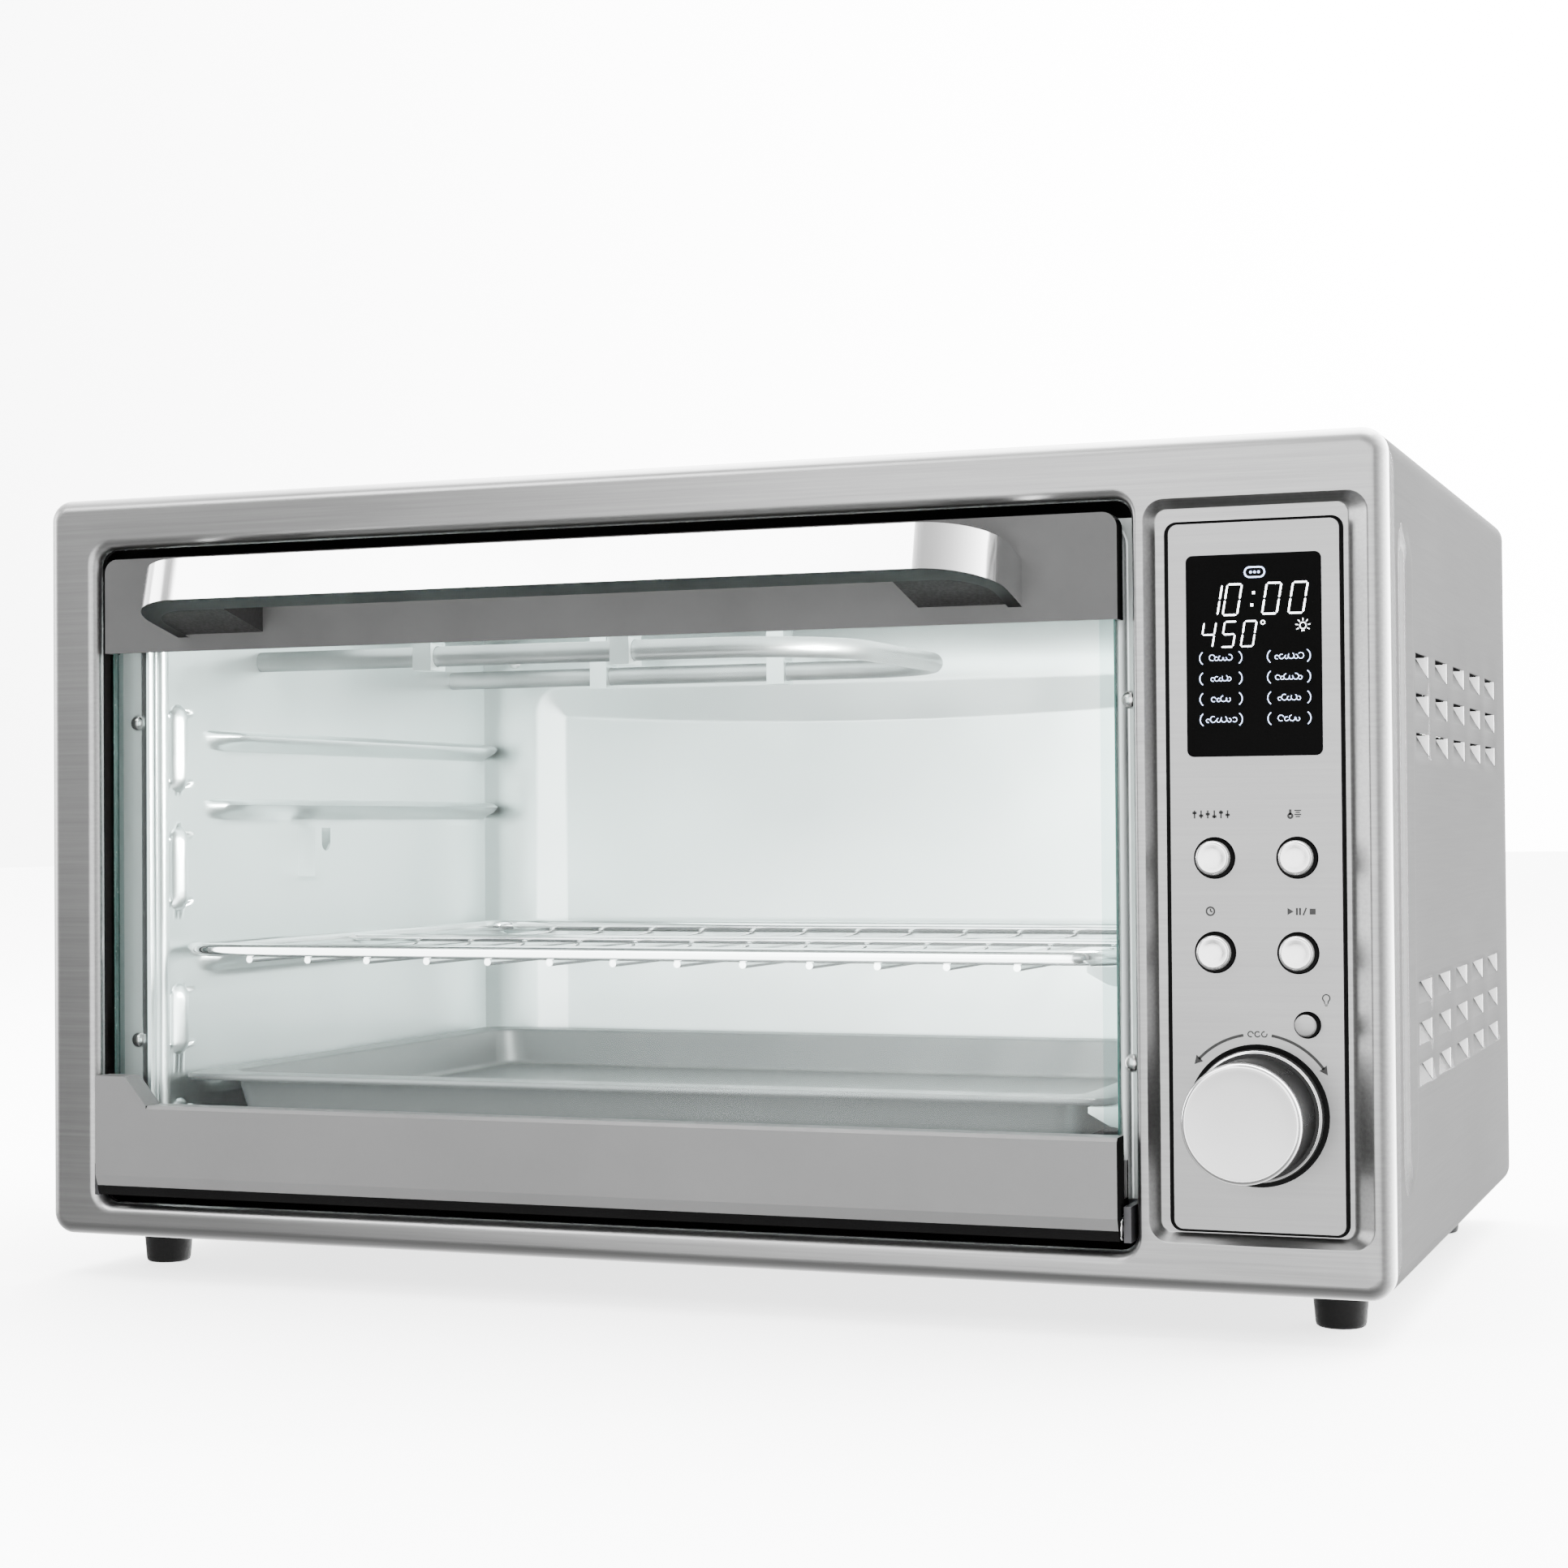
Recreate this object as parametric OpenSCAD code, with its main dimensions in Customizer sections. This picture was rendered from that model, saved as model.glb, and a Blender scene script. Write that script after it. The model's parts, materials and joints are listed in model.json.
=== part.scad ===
// Countertop toaster oven: a front-opening convection and rotisserie oven.
// Millimetres. The frame origin is under the middle of the whole oven, on the worktop;
// +X is to the right when facing the door, -Y points out of the front, +Z is up.

/* [Body] */
// Width of the casing
body_w = 500; // [460:5:600]
// Height of the casing, without its feet
body_h = 276; // [260:2:340]
// Depth of the casing, front face to back edge
body_d = 312; // [290:2:380]
// Height of the feet
foot_h = 15; // [12:1:25]
// Radius of the casing corners seen from the front
corner_r = 8; // [5:0.5:12]
// Thickness of the casing sheet
sheet = 1.2; // [0.8:0.1:1.4]

/* [Door] */
// Steel border left of the door opening
border_left = 21.7; // [16:0.5:26]
// Steel border under the door opening
border_bottom = 12.5; // [12:0.5:14]
// Steel border over the door opening
border_top = 19.5; // [16:0.5:26]
// Width of the control area right of the door
control_w = 82.3; // [78:0.5:96]
// Gap between the door and its opening
door_gap = 4.1; // [3.6:0.1:4.6]
// Height of the rail at the top of the door
top_rail_h = 35; // [30:1:44]
// Height of the rail at the bottom of the door
bottom_rail_h = 33.5; // [30:0.5:36]
// Thickness of the door glass
glass_t = 4; // [3:0.5:5]

/* [Handle] */
// How far the handle stands off the door
handle_reach = 41; // [34:1:50]
// How far the handle stops short of each door edge
handle_inset = 32; // [24:1:44]
// Height of the handle strap
handle_h = 15.5; // [12:0.5:20]
// Thickness of the handle strap
handle_t = 12; // [8:1:14]
// How steeply the handle slopes down to the door, in degrees
handle_tilt = 14; // [0:1:16]

/* [Controls] */
// Radius of the four round buttons
button_r = 6.4; // [5.5:0.1:7]
// Travel of every button
button_travel = 1; // [0.6:0.1:1.4]
// Distance between the two button columns
button_pitch_x = 26.6; // [24:0.2:28]
// Distance between the two button rows
button_pitch_z = 30.3; // [26:0.3:32]
// Radius of the knob cap
knob_r = 19; // [16:0.5:20]
// How far the knob stands off the plate
knob_l = 28; // [22:1:34]
// Radial clearance of shafts and stems in their bores
run_gap = 0.05; // [0.03:0.01:0.08]

/* [Inside] */
// Gap between the cavity and the casing on the left
cavity_left = 12.3; // [10:0.5:14]
// Height of the cavity floor over the casing bottom
floor_z = 22; // [21:0.5:24]
// Gap between the cavity back wall and the back panel
back_gap = 10.4; // [8:0.4:20]
// Height of the wire rack over the casing bottom
rack_z = 106; // [90:2:130]
// Height of the baking tray rim over the casing bottom
tray_z = 59; // [57:0.5:64]
// Depth of the baking tray
tray_deep = 17; // [12:1:18]
// Spacing of the thin wires of the rack
rack_pitch = 25; // [15:0.5:30]
// Radius of the heater tubes
heater_r = 4; // [3:0.5:4.5]
// How far the rack and the tray can be drawn out
pull = 95; // [60:5:110]

/* [Hidden] */
$fn = 64;
eps = 0.01;
half_w = body_w / 2;
door_proud = 0.5;
face_y = -(body_d - handle_reach - door_proud) / 2;
// Door opening in the front frame
open_x0 = -half_w + border_left;
open_x1 = half_w - control_w;
open_z0 = border_bottom;
open_z1 = body_h - border_top;
open_r = 6;
lip_d = 6;
skirt_d = 8;
edge_r = 5;
// Door
door_x0 = open_x0 + door_gap;
door_x1 = open_x1 - door_gap;
door_z0 = open_z0 + 4;
door_z1 = open_z1 - 4;
door_mid = (door_x0 + door_x1) / 2;
glass_y = 1.5;
glass_back = glass_y + glass_t;
rail_wall = 1.5;
hinge_z = open_z0 + 7.5;
pin_r = 2.5;
pin_l = 16;
// Controls
ctl_x = (open_x1 + half_w) / 2 - 1.5;
recess_w = 70;
recess_x0 = ctl_x - recess_w / 2;
recess_z0 = 16.5;
recess_z1 = body_h - 20.5;
recess_d = 4.8;
recess_slope = 3;
plate_w = 55;
plate_y = 2.5;
plate_z0 = 20.5;
plate_z1 = body_h - 28.5;
lens_w = 43.3;
lens_z0 = plate_z1 - 75;
lens_z1 = plate_z1 - 10.5;
pan_back = recess_d + sheet;
row1_z = lens_z0 - 32.7;
row2_z = row1_z - button_pitch_z;
light_z = row2_z - 22.8;
light_r = 4;
knob_z = plate_z0 + 37;
button_out = 4.5;
button_slit = 0.35;
stem_r = 2;
board_y = 16;
board_t = 1.6;
switch_h = 2.8;
guide_y = 8;
guide_t = 3;
shaft_r = 3;
bush_r = 4.5;
knob_gap = 0.8;
// button name, column, height, radius
function_at = [ctl_x - button_pitch_x / 2, row1_z];
temperature_at = [ctl_x + button_pitch_x / 2, row1_z];
time_at = [ctl_x - button_pitch_x / 2, row2_z];
start_at = [ctl_x + button_pitch_x / 2, row2_z];
light_at = [ctl_x + 16, light_z];
button_places = [function_at, temperature_at, time_at, start_at, light_at];
button_radii = [button_r, button_r, button_r, button_r, light_r];
// Cavity
wall = 1;
flange_y = 18;
cav_x0 = open_x0 + cavity_left;
cav_x1 = open_x1 - 9.7;
cav_mid = (cav_x0 + cav_x1) / 2;
cav_z0 = floor_z;
cav_z1 = open_z1 - 9.5;
cav_y0 = flange_y + sheet;
cav_y1 = body_d - back_gap - 2 * sheet;
cav_d = cav_y1 - cav_y0;
// Depth of the dished field of the back wall, and the height of its top edge
dish = 7;
dish_top = cav_z1 - 30;
ledge_w = 12;
ledge_h = 6;
shield_x = cav_x1 + 16;
// Heaters, fan, spit drive and lamp
heater_y = [cav_y0 + 0.27 * cav_d, cav_y0 + 0.76 * cav_d];
hairpin_y = [cav_y0 + 0.27 * cav_d, cav_y0 + 0.86 * cav_d];
hairpin_x = cav_mid + 58;
hairpin_bend = 45;
clip_x = [cav_mid - 110, cav_mid - 25];
upper_z = cav_z1 - 28;
lower_z = cav_z0 + 10;
cap_r = 7;
cap_l = 12;
fan_at = [cav_y0 + 0.74 * cav_d, rack_z + 49];
fan_r = 42;
spit_at = [cav_y0 + 0.4 * cav_d, 146];
spit_r = 6;
lamp_at = [cav_y0 + 0.15 * cav_d, 196];
lamp_r = 15;
probe_at = [cav_y0 + 0.5 * cav_d, cav_z1 - 6];
// Rack and trays
wire_r = 2.6;
cross_r = 1.3;
rack_half = (cav_x1 - cav_x0) / 2 - 3.5;
rack_y0 = cav_y0 + 5;
rack_y1 = cav_y1 - 8;
rack_bend = 14;
tray_half = (cav_x1 - cav_x0) / 2 - 5.5;
tray_y0 = cav_y0 + 8;
tray_y1 = cav_y1 - 12;
tray_rim = 14;
tray_t = 1;
crumb_half = 150;
crumb_z = 13.5;
crumb_h = 6;
slot_z0 = 12;
slot_z1 = 21;
foot_x = half_w - 24;
foot_y = 43;
foot_r = 9.5;

// ---------- helpers ----------

// Moves a shape drawn from the front face and the casing bottom into the frame
module oven() {
    translate([0, face_y, foot_h]) children();
}

// Extrudes a front-view outline (x, z) from depth y0 to y1
module slab_y(y0, y1) {
    translate([0, y1, 0]) rotate([90, 0, 0]) linear_extrude(height = y1 - y0) children();
}

// Extrudes a side-view outline (y, z) from x0 to x1
module slab_x(x0, x1) {
    translate([x0, 0, 0]) rotate([90, 0, 90]) linear_extrude(height = x1 - x0) children();
}

// Extrudes a plan-view outline (x, y) from z0 to z1
module slab_z(z0, z1) {
    translate([0, 0, z0]) linear_extrude(height = z1 - z0) children();
}

// Rectangle between two corners
module rect(x0, z0, x1, z1) {
    translate([x0, z0]) square([x1 - x0, z1 - z0]);
}

// Rectangle with round corners
module round_rect(x0, z0, x1, z1, r) {
    rect(x0 + r, z0, x1 - r, z1);
    rect(x0, z0 + r, x1, z1 - r);
    for (x = [x0 + r, x1 - r], z = [z0 + r, z1 - r]) {
        translate([x, z]) circle(r);
    }
}

module block(x0, x1, y0, y1, z0, z1) {
    translate([x0, y0, z0]) cube([x1 - x0, y1 - y0, z1 - z0]);
}

module rod_x(x0, x1, y, z, r) {
    translate([x0, y, z]) rotate([0, 90, 0]) cylinder(h = x1 - x0, r = r);
}

module rod_y(y0, y1, x, z, r) {
    translate([x, y1, z]) rotate([90, 0, 0]) cylinder(h = y1 - y0, r = r);
}

module rod_z(z0, z1, x, y, r) {
    translate([x, y, z0]) cylinder(h = z1 - z0, r = r);
}

// A square bar with two round ends, as a cutter for a slot seen from the front
module slot_y(y0, y1, x, z, length, r) {
    rod_y(y0, y1, x - length / 2 + r, z, r);
    rod_y(y0, y1, x + length / 2 - r, z, r);
    block(x - length / 2 + r, x + length / 2 - r, y0, y1, z - r, z + r);
}

// A solid with its four front edges rounded, as deep as the frame's skirt
module pillow(inset) {
    r = edge_r - inset * 0.5;
    intersection() {
        slab_y(inset, skirt_d + inset * 2)
            round_rect(-half_w + inset, inset, half_w - inset, body_h - inset, corner_r - inset);
        slab_x(-half_w, half_w) {
            rect(r + inset, inset, skirt_d + inset * 3, body_h - inset);
            rect(inset, r + inset, skirt_d + inset * 3, body_h - r - inset);
            for (z = [r + inset, body_h - r - inset]) {
                translate([r + inset, z]) circle(r);
            }
        }
        slab_z(0, body_h) {
            rect(-half_w + inset, r + inset, half_w - inset, skirt_d + inset * 3);
            rect(-half_w + r + inset, inset, half_w - r - inset, skirt_d + inset * 3);
            for (x = [-half_w + r + inset, half_w - r - inset]) {
                translate([x, r + inset]) circle(r);
            }
        }
    }
}

// ---------- casing ----------

module front_frame() {
    color("silver") oven() {
        difference() {
            pillow(0);
            pillow(sheet);
            slab_y(-1, skirt_d) round_rect(open_x0, open_z0, open_x1, open_z1, open_r);
            slab_y(-1, skirt_d)
                rect(recess_x0, recess_z0, recess_x0 + recess_w, recess_z1);
        }
        // turned lip round the door opening
        slab_y(sheet, lip_d) difference() {
            round_rect(open_x0 - sheet, open_z0 - sheet, open_x1 + sheet, open_z1 + sheet, open_r);
            round_rect(open_x0, open_z0, open_x1, open_z1, open_r);
        }
        recess_pan();
    }
}

// The pressed pan that the control plate sits in
module recess_pan() {
    s = recess_slope;
    x0 = recess_x0;
    x1 = recess_x0 + recess_w;
    d = recess_d;
    slab_z(recess_z0, recess_z1) {
        polygon([[x0, 0], [x0 - sheet, sheet], [x0 + s - sheet, d + sheet], [x0 + s, d]]);
        polygon([[x1, 0], [x1 + sheet, sheet], [x1 - s + sheet, d + sheet], [x1 - s, d]]);
    }
    slab_x(x0, x1) {
        polygon([[0, recess_z0], [0, recess_z0 - sheet], [d + sheet, recess_z0 - sheet],
            [d + sheet, recess_z0], [d, recess_z0]]);
        polygon([[0, recess_z1], [0, recess_z1 + sheet], [d + sheet, recess_z1 + sheet],
            [d + sheet, recess_z1], [d, recess_z1]]);
    }
    difference() {
        slab_y(d, d + sheet) rect(x0 + s - sheet, recess_z0, x1 - s + sheet, recess_z1);
        slab_y(d - 1, d + sheet + 1) rect(ctl_x - 24, plate_z0 + 6, ctl_x + 24, plate_z1 - 6);
    }
}

wrap_y = skirt_d + 0.2;
louvre_w = 31;
louvre_h = 7.6;
louvre_in = 4.5;
louvre_pitch_y = 46.5;
louvre_y0 = 60;
louvre_rows = [body_h - 76, body_h - 89.4, body_h - 102.8, 90, 76.3, 62.6];
bead_y = 38.5;
bead_w = 28;

// One pressed-in air pocket of the side: a sloping flap between two cheeks, open at its top
module louvre_pocket(y, z) {
    x = half_w;
    deep = x - louvre_in;
    top = z + louvre_h;
    slab_y(y, y + louvre_w)
        polygon([[x, z - 0.6], [x, z], [deep, top], [deep - 0.9, top], [x - sheet, z - 0.6]]);
    for (end = [y - 0.5, y + louvre_w - 0.5]) {
        slab_y(end, end + 1)
            polygon([[x, z - 0.6], [x, top + 0.2], [deep - 0.9, top], [x - sheet, z - 0.6]]);
    }
}

module louvre_field(part) {
    for (i = [0:4], z = louvre_rows) {
        y = louvre_y0 + i * louvre_pitch_y * (body_d - 20) / 292;
        if (part == "holes") {
            block(half_w - 2, half_w + 1, y, y + louvre_w, z, z + louvre_h);
        } else {
            louvre_pocket(y, z);
        }
    }
}

module outer_wrap() {
    color("silver") oven() {
        difference() {
            slab_y(wrap_y, body_d) difference() {
                round_rect(-half_w, 0, half_w, body_h, corner_r);
                round_rect(-half_w + sheet, sheet, half_w - sheet, body_h - sheet, corner_r - sheet);
                rect(-half_w + 20, -1, half_w - 20, sheet + 1);
            }
            for (m = [0, 1]) {
                mirror([m, 0, 0]) louvre_field("holes");
                mirror([m, 0, 0]) bead_pad(-sheet - 1, 0);
            }
        }
        // flange that the back panel is screwed to
        slab_y(body_d - 3 * sheet, body_d - 2 * sheet) difference() {
            round_rect(-half_w + sheet / 2, sheet / 2, half_w - sheet / 2, body_h - sheet / 2, corner_r - 1);
            rect(-half_w + 14, -1, half_w - 14, body_h - 14);
        }
        for (m = [0, 1]) {
            mirror([m, 0, 0]) louvre_field("pockets");
            mirror([m, 0, 0]) difference() {
                bead_pad(-sheet - 0.2, 0);
                bead_pad(-sheet - 1, -sheet);
            }
        }
    }
}

// The upright bead of the side, as a solid from `from` to `to` past the pressed face
module bead_pad(from, to) {
    slab_x(half_w + from + sheet, half_w + to + sheet)
        round_rect(bead_y - bead_w / 2 - to, 31 - to, bead_y + bead_w / 2 + to, body_h - 30 + to, 12 + to);
}

module bottom_pan() {
    x1 = half_w - sheet - 0.2;
    color("darkgray") oven() {
        difference() {
            union() {
                slab_z(sheet, 2 * sheet) rect(-x1 + 8, skirt_d - 1, x1 - 8, body_d - 4 * sheet);
                for (m = [0, 1]) {
                    mirror([m, 0, 0])
                        block(shield_x - 0.8, shield_x + sheet - 0.8, 30, body_d - 10, 2 * sheet - eps, 9);
                }
            }
            for (x = [-foot_x, foot_x], y = [foot_y, body_d - foot_y]) {
                rod_z(0, 4, x, y, 2.1);
            }
            for (i = [-3:3], y = [0.3, 0.5, 0.7]) {
                block(cav_mid + i * 46 - 15, cav_mid + i * 46 + 15, body_d * y - 2, body_d * y + 2, 0, 4);
            }
        }
    }
}

module rear_panel() {
    x1 = half_w - sheet - 0.2;
    y1 = body_d - sheet;
    color("darkgray") oven() {
        difference() {
            slab_y(y1 - sheet, y1)
                round_rect(-x1, sheet + 0.2, x1, body_h - sheet - 0.2, corner_r - sheet - 0.2);
            slab_y(y1 - 3, y1 + 1)
                rect(cav_mid - crumb_half - 6, slot_z0, cav_mid + crumb_half + 6, slot_z1);
            for (x = [-9:3], z = [0.3, 0.36, 0.42, 0.62, 0.68, 0.74]) {
                slot_y(y1 - 3, y1 + 1, 20 * x + 30, body_h * z, 16, 1.8);
            }
            for (x = [0:3], i = [0:8]) {
                slot_y(y1 - 3, y1 + 1, shield_x + 14 + 17 * x, 80 + 18 * i, 13, 1.8);
            }
            for (p = casing_screw_places) {
                rod_y(y1 - 3, y1 + 1, p[0], p[1], 1.8);
            }
            rod_y(y1 - 3, y1 + 1, half_w - 34, 34, 8);
        }
    }
}

casing_screw_places = [
    [-half_w + 9, body_h - 60], [-half_w + 9, 60], [half_w - 9, body_h - 60], [half_w - 9, 60],
    [-120, body_h - 8.5], [120, body_h - 8.5], [0, body_h - 8.5]
];

module feet() {
    color("dimgray") oven() {
        for (x = [-foot_x, foot_x], y = [foot_y, body_d - foot_y]) {
            difference() {
                translate([x, y, -foot_h]) cylinder(h = foot_h, r1 = foot_r - 1.5, r2 = foot_r);
                rod_z(-foot_h - 1, -5, x, y, 4.5);
                rod_z(-6, 1, x, y, 2.1);
            }
        }
    }
}

module casing_screws() {
    color("gainsboro") oven() {
        for (x = [-foot_x, foot_x], y = [foot_y, body_d - foot_y]) {
            rod_z(-5, 6, x, y, 2);
            rod_z(-8, -5, x, y, 3.8);
            rod_z(2 * sheet, 2 * sheet + 2.5, x, y, 3.6);
        }
        for (p = casing_screw_places) {
            rod_y(body_d - sheet, body_d - 0.1, p[0], p[1], 3.6);
            rod_y(body_d - 9, body_d - sheet / 2, p[0], p[1], 1.5);
        }
    }
}

module cord_gland() {
    x = half_w - 34;
    z = 34;
    color("dimgray") oven() {
        difference() {
            union() {
                rod_y(body_d - 2 * sheet - 8, body_d - sheet / 2, x, z, 7.8);
                rod_y(body_d - sheet, body_d - 0.05, x, z, 10);
                rod_y(body_d - 2 * sheet - 8, body_d - 2 * sheet, x, z, 9.6);
            }
            rod_y(body_d - 20, body_d + 1, x, z, 3.6);
        }
    }
}

// ---------- control panel ----------

module control_plate() {
    color("lightgray") oven() {
        difference() {
            slab_y(plate_y, recess_d)
                round_rect(ctl_x - plate_w / 2, plate_z0, ctl_x + plate_w / 2, plate_z1, 3);
            slab_y(0, recess_d + 1)
                round_rect(ctl_x - lens_w / 2 - 0.2, lens_z0 - 0.2, ctl_x + lens_w / 2 + 0.2, lens_z1 + 0.2, 2.2);
            for (i = [0:4]) {
                rod_y(0, recess_d + 1, button_places[i][0], button_places[i][1], button_radii[i] + button_slit);
            }
            rod_y(0, recess_d + 1, ctl_x, knob_z, bush_r);
        }
    }
}

module display_lens() {
    color("black") oven() {
        slab_y(plate_y - 0.5, recess_d)
            round_rect(ctl_x - lens_w / 2, lens_z0, ctl_x + lens_w / 2, lens_z1, 2);
    }
}

module display_module() {
    color("darkslategray") oven() {
        block(ctl_x - 22.5, ctl_x + 22.5, recess_d, board_y - 4, lens_z0 - 1, plate_z1 - 7);
        block(ctl_x - 10, ctl_x + 10, board_y - 4 - eps, board_y, lens_z0 + 2, lens_z0 + 6);
    }
}

module control_board() {
    color("darkgreen") oven() {
        difference() {
            block(ctl_x - 30, ctl_x + 30, board_y, board_y + board_t, 28, body_h - 34);
            for (x = [-27.5, 27.5], z = [34, body_h - 40]) {
                rod_y(board_y - 1, board_y + 3, ctl_x + x, z, 1.7);
            }
        }
    }
}

// Four standoffs on the recess pan and the screws that hold the board to them
module board_screws() {
    color("gainsboro") oven() {
        for (x = [-27.5, 27.5], z = [34, body_h - 40]) {
            rod_y(pan_back, board_y, ctl_x + x, z, 3);
            rod_y(board_y - eps, board_y + board_t + eps, ctl_x + x, z, 1.5);
            rod_y(board_y + board_t, board_y + board_t + 2, ctl_x + x, z, 3);
        }
    }
}

module tact_switches() {
    color("black") oven() {
        for (p = button_places) {
            block(p[0] - 3, p[0] + 3, board_y - switch_h + 0.8, board_y, p[1] - 3, p[1] + 3);
            rod_y(board_y - switch_h, board_y, p[0], p[1], 1.7);
        }
    }
}

module button_guide() {
    color("whitesmoke") oven() {
        difference() {
            union() {
                block(ctl_x - 29, ctl_x + 29, guide_y, guide_y + guide_t, light_z - 8, row1_z + 12);
                for (x = [-26.5, 26.5], z = [light_z - 4, row1_z + 8]) {
                    rod_y(pan_back, guide_y + eps, ctl_x + x, z, 2.4);
                }
            }
            for (p = button_places) {
                rod_y(guide_y - 1, guide_y + guide_t + 1, p[0], p[1], stem_r + run_gap);
            }
        }
    }
}

module encoder_body() {
    color("slategray") oven() {
        difference() {
            union() {
                block(ctl_x - 7, ctl_x + 7, pan_back, board_y, knob_z - 7, knob_z + 7);
                rod_y(plate_y - 2.5, pan_back + eps, ctl_x, knob_z, bush_r);
                rod_y(plate_y - 1.8, plate_y, ctl_x, knob_z, 6.5);
            }
            rod_y(plate_y - 4, board_y - 2, ctl_x, knob_z, shaft_r + run_gap);
        }
    }
}

module encoder_shaft() {
    color("gainsboro") oven() {
        rod_y(plate_y - knob_gap - 20, board_y - 3, ctl_x, knob_z, shaft_r);
    }
}

module knob() {
    base = plate_y - knob_gap;
    tip = plate_y - knob_l;
    color("black") oven() {
        difference() {
            union() {
                rod_y(base - 3, base, ctl_x, knob_z, knob_r + 2.3);
                rod_y(tip + 1.5, base, ctl_x, knob_z, knob_r - 1.2);
            }
            rod_y(base - 4, base + 1, ctl_x, knob_z, 8);
            rod_y(base - 20, base + 1, ctl_x, knob_z, shaft_r);
        }
    }
}

module knob_cap() {
    base = plate_y - knob_gap;
    tip = plate_y - knob_l;
    color("silver") oven() {
        difference() {
            rod_y(tip, base - 3, ctl_x, knob_z, knob_r);
            rod_y(tip + 1.5, base, ctl_x, knob_z, knob_r - 1.2);
        }
    }
}

// A round push button: cap, keeper flange behind the plate, and stem
module push_button(p, r) {
    stem_end = board_y - switch_h - button_travel - 0.2;
    color("silver") oven() {
        rod_y(plate_y - button_out, recess_d + 1.4, p[0], p[1], r);
        rod_y(recess_d + 0.3, recess_d + 1.4, p[0], p[1], r + 1.1);
        rod_y(recess_d + 1, stem_end, p[0], p[1], stem_r);
    }
}

module function_button() {
    push_button(function_at, button_r);
}

module temperature_button() {
    push_button(temperature_at, button_r);
}

module time_button() {
    push_button(time_at, button_r);
}

module start_button() {
    push_button(start_at, button_r);
}

module light_button() {
    push_button(light_at, light_r);
}

// ---------- electrics in the side bay ----------

module power_board() {
    x = shield_x + sheet;
    color("darkgreen") oven() {
        block(x + 6, x + 7.6, 40, body_d - 190, 15, 92);
        for (y = [46, body_d - 196], z = [21, 86]) {
            rod_x(x, x + 6.2, y, z, 3);
        }
        block(x + 7.6 - eps, x + 22, 46, 62, 64, 86);
        rod_x(x + 7.6 - eps, x + 30, 78, 76, 8);
        rod_x(x + 7.6 - eps, x + 30, 97, 76, 8);
        block(x + 7.6 - eps, x + 20, body_d - 206, body_d - 194, 20, 60);
    }
}

module transformer() {
    x = shield_x + sheet + 7.6;
    color("goldenrod") oven() {
        block(x, x + 28, 46, 82, 20, 54);
        rod_x(x + 28 - eps, x + 31, 64, 37, 11);
    }
}

module heat_shield() {
    color("darkgray") oven() {
        difference() {
            slab_x(shield_x, shield_x + sheet) rect(28, 9, body_d - 14, cav_z1 + 8);
            rod_x(shield_x - 1, shield_x + 3, fan_at[0], fan_at[1], 14);
            rod_x(shield_x - 1, shield_x + 3, spit_at[0], spit_at[1], 12);
            rod_x(shield_x - 1, shield_x + 3, lamp_at[0], lamp_at[1], lamp_r + 2);
        }
    }
}

module fan_motor() {
    x = shield_x + sheet;
    color("slategray") oven() {
        difference() {
            union() {
                rod_x(x, x + 30, fan_at[0], fan_at[1], 22);
                rod_x(cav_x1 + wall + 12, x + eps, fan_at[0], fan_at[1], 8);
                rod_x(x + 30 - eps, x + 34, fan_at[0], fan_at[1], 7);
            }
            rod_x(cav_x1 - 1, x + 20, fan_at[0], fan_at[1], 2.5 + run_gap);
        }
    }
}

module fan_blade() {
    x = cav_x1 + wall + 2;
    color("silver") oven() {
        rod_x(x, x + 2, fan_at[0], fan_at[1], 12);
        rod_x(x, shield_x + 15, fan_at[0], fan_at[1], 2.5);
        for (a = [0:45:315]) {
            translate([x, fan_at[0], fan_at[1]]) rotate([a, 0, 0])
                translate([0, 8, -0.6]) cube([7, fan_r - 12, 1.2]);
        }
    }
}

module fan_housing() {
    x = cav_x1 + wall;
    color("darkgray") oven() {
        difference() {
            rod_x(x, x + 12, fan_at[0], fan_at[1], fan_r + 6);
            rod_x(x - 1, x + 11, fan_at[0], fan_at[1], fan_r + 5);
            rod_x(x, x + 13, fan_at[0], fan_at[1], 8);
        }
    }
}

// Perforated cover over the fan, on the cavity side
module fan_guard() {
    color("silver") oven() {
        difference() {
            rod_x(cav_x1 - 3, cav_x1, fan_at[0], fan_at[1], fan_r + 6);
            rod_x(cav_x1 - 2, cav_x1 + 1, fan_at[0], fan_at[1], fan_r + 1);
            for (k = [1:3], a = [0:(k == 1 ? 60 : 30):330]) {
                translate([cav_x1 - 4, fan_at[0], fan_at[1]]) rotate([a, 0, 0])
                    translate([0, 11 * k, 0]) rotate([0, 90, 0]) cylinder(h = 3, r = 2.3);
            }
        }
    }
}

module spit_motor() {
    x = shield_x + sheet;
    color("slategray") oven() {
        difference() {
            union() {
                rod_x(x, x + 20, spit_at[0], spit_at[1], 17);
                rod_x(cav_x1 + wall + 2, x + eps, spit_at[0], spit_at[1], 8);
            }
            rod_x(cav_x1 - 1, x + 12, spit_at[0], spit_at[1], 3 + run_gap);
        }
    }
}

// The turning drive that takes the square end of a rotisserie spit
module spit_socket() {
    color("silver") oven() {
        difference() {
            union() {
                rod_x(cav_x1 - 12, cav_x1 + wall + 1, spit_at[0], spit_at[1], spit_r);
                rod_x(cav_x1, shield_x + 10, spit_at[0], spit_at[1], 3);
            }
            block(cav_x1 - 13, cav_x1 - 2, spit_at[0] - 3.2, spit_at[0] + 3.2, spit_at[1] - 3.2, spit_at[1] + 3.2);
        }
    }
}

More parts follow.
